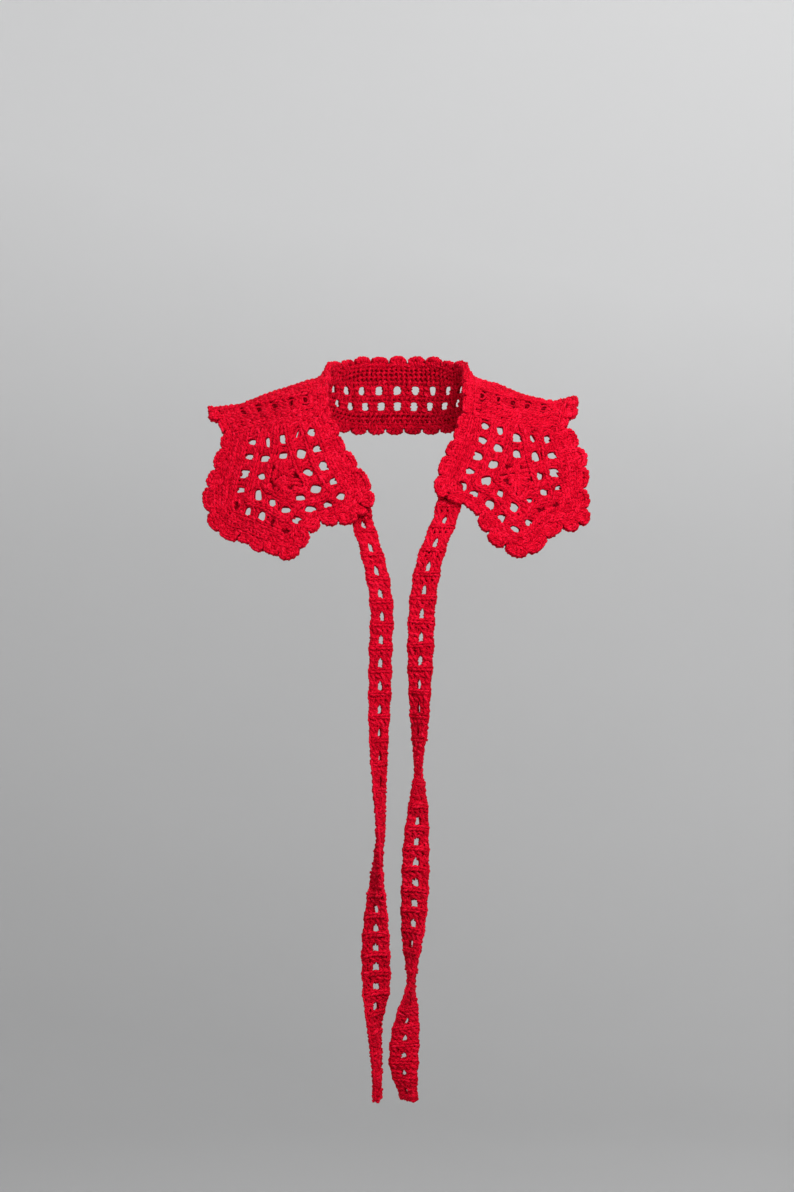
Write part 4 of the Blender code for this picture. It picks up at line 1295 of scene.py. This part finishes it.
def make_collar():
    right = FrontPanel(RIGHT_INNER, RIGHT_BOTTOM, RIGHT_OUTER, CHART_RIGHT)
    left = FrontPanel(LEFT_INNER, LEFT_BOTTOM, LEFT_OUTER, CHART_LEFT)
    make_front("left", left)
    make_front("right", right)
    band_left = Band(LEFT_INNER[0], LEFT_OUTER[0], LEFT_BAND_OUTER, -1)
    band_right = Band(RIGHT_INNER[0], RIGHT_OUTER[0], RIGHT_BAND_OUTER, 1)
    make_band("left", band_left, [(.15, 28.6, 1.7), (.31, 27.5, 1.6), (.495, 27.6, 2.1), (.665, 26.6, 1.5), (.82, 27.4, 1.8)])
    make_band("right", band_right, [(.075, 29.6, 1.6), (.27, 28.8, 1.3), (.44, 28.0, 1.7), (.61, 27.0, 1.8), (.80, 28.0, 1.7)])
    yoke = Yoke(band_left, band_right)
    make_yoke(yoke)

    corner, inner_edges, bottoms, outers = {}, {}, {}, {}
    third = (left.flat.shape[1] - 1) // 3
    for name, panel, sign in (("left", left, 1), ("right", right, -1)):
        edge = panel.cloth.P[-1]
        inner_edges[name], bottoms[name], outers[name] = edge[:third + 1], edge[third:2 * third + 1], edge[2 * third:]
        up = unit(edge[third - 7] - edge[third])
        across = unit(edge[third + 7] - edge[third])
        corner[name] = unit(up - across) * sign
    neck = Strip(np.concatenate([inner_edges["left"][::-1], band_left.cloth.P[1:, 0], yoke.nape[1:-1],
                                 band_right.cloth.P[::-1, 0], inner_edges["right"][1:]]), corner["left"], corner["right"])
    outer_right = Strip(np.concatenate([bottoms["right"], outers["right"][1:], band_right.cloth.P[1:, -1]]), corner["right"])
    outer_left = Strip(np.concatenate([bottoms["left"], outers["left"][1:], band_left.cloth.P[1:, -1]])[::-1], None, corner["left"])
    back = Strip(np.concatenate([yoke.cloth.P[:, -1], yoke.cloth.P[-1][-2::-1], yoke.cloth.P[-2::-1, 0]]))
    strips = {"neck": neck, "outer_right": outer_right, "outer_left": outer_left, "back": back}
    make_edging("edging_ground_neck", "neck_edging", neck, SHELLS["neck"], both=True)
    make_edging("edging_ground_outer_left", "outer_edging_left", outer_left, SHELLS["outer_left"])
    make_edging("edging_ground_outer_right", "outer_edging_right", outer_right, SHELLS["outer_right"])
    make_edging("edging_ground_back", "back_edging", back)
    ties = {"left": Tie(TIE_LEFT, LEFT_OPENINGS), "right": Tie(TIE_RIGHT, RIGHT_OPENINGS)}
    for name, tie in ties.items():
        make_tie(name, tie)
    return left, right, band_left, band_right, yoke, strips, ties


# The shells of each edging where they are uneven: where each starts along the edge, how far the hollow there reaches
# and how far the shell's crown does. The neck edging runs from the left front corner round the nape to the right one,
# the outer left one from the shoulder's end to the corner, and the outer right one the other way.
SHELLS = {
    "neck": [(0, 13.5, 16.2), (16, 12.2, 15.4), (43.5, 11.5, 14.8), (65.7, 10.8, 12.8), (84.5, 11.0, 14.2),
             (106, 10.0, 11.8), (123, 9.2, 10.6), (140, 8.8, 10.6), (157, 9.0, 12.6), (176, 10.5, 14.6),
             (385, 10.4, 14.2), (405, 11.0, 14.4), (424.7, 11.5, 12.8), (446.9, 10.6, 15.2), (464.2, 11.8, 14.6),
             (478.5, 11.4, 14.8), (498.2, 11.4, 14.4), (521, 10.6, 15.2)],
    "outer_left": [(0, 14.4, 15.4), (15.5, 14.2, 17.0), (28, 9.4, 10.4), (45.8, 9.6, 13.8), (68.9, 10.8, 14.6), (90.9, 8.8, 13.0),
                   (110.5, 10.2, 15.8), (136, 9.2, 14.0), (159, 11.6, 15.0), (181, 11.8, 12.8), (198, 10.8, 14.4),
                   (215, 11.2, 13.4), (233, 11.2, 14.2), (254, 11.4, 13.8), (272.6, 10.8, 14.8), (289, 9.6, 13.4),
                   (307, 11.2, 15.0), (326, 12.5, 15.6)],
    "outer_right": [(0, 9.0, 10.0), (19, 7.6, 9.4), (38.9, 9.2, 13.2), (57.8, 10.4, 15.0), (78.2, 11.0, 16.4),
                    (101, 11.6, 14.6), (127, 11.8, 16.4), (152.8, 11.2, 16.2), (170, 12.2, 17.6), (186.9, 10.6, 14.4),
                    (207.3, 9.6, 15.2), (229.5, 11.8, 17.2), (250.6, 12.4, 16.8), (281.3, 8.8, 10.8), (292, 10.8, 17.0),
                    (309, 13.4, 14.8)],
}
LEFT_OPENINGS = [(0, -132), (10, -354.3), (11, -380.8), (17, -502), (21, -576), (26, -673)]
RIGHT_OPENINGS = [(0, -127.2), (9, -331.3), (13, -417.3), (19, -535.6), (23, -609.6), (27, -676)]

make_camera()
made = make_collar()

yarn_look, ground_look = yarn_material(), ground_material()
for cloth, stitches, _ in PIECES.values():
    cloth.data.materials.append(ground_look)
    stitches.data.materials.append(yarn_look)

for key, (cloth, stitches, area) in PIECES.items():
    print("piece", key, "ground area", round(area, 5), "triangles", sum(len(p.vertices) - 2 for p in stitches.data.polygons),
          "ground triangles", sum(len(p.vertices) - 2 for p in cloth.data.polygons))

make_studio()
area_light("key_light", (0.55, -1.2, 0.55), (0, 0, -0.05), (0.8, 0.8), 20.5)
area_light("fill_light", (-1.4, -1.8, 0.6), (0, 0, 0.0), (1.2, 1.2), 9)
area_light("top_light", (0.1, 0.9, 2.2), (0, 0, 0), (2.0, 2.0), 15)
area_light("back_light", (-0.4, 2.0, 2.0), (0, 0, -0.1), (1.2, 1.2), 9)
area_light("wall_light_right", (1.3, 1.4, 2.6), (1.0, 4.3, 0.3), (1.0, 1.0), 38)
area_light("wall_light_left", (-1.3, 1.4, 2.6), (-1.0, 4.3, 0.3), (1.0, 1.0), 4)
area_light("wall_light_front", (0.0, -1.2, 2.8), (0.0, -4.3, 0.3), (1.6, 1.0), 22)
world = bpy.data.worlds.new("studio_air")
bpy.context.scene.world = world
world.use_nodes = True
world.node_tree.nodes["Background"].inputs["Color"].default_value = (0.97, 0.98, 1.0, 1)
world.node_tree.nodes["Background"].inputs["Strength"].default_value = 0.35
bpy.context.scene.view_settings.view_transform = "Standard"
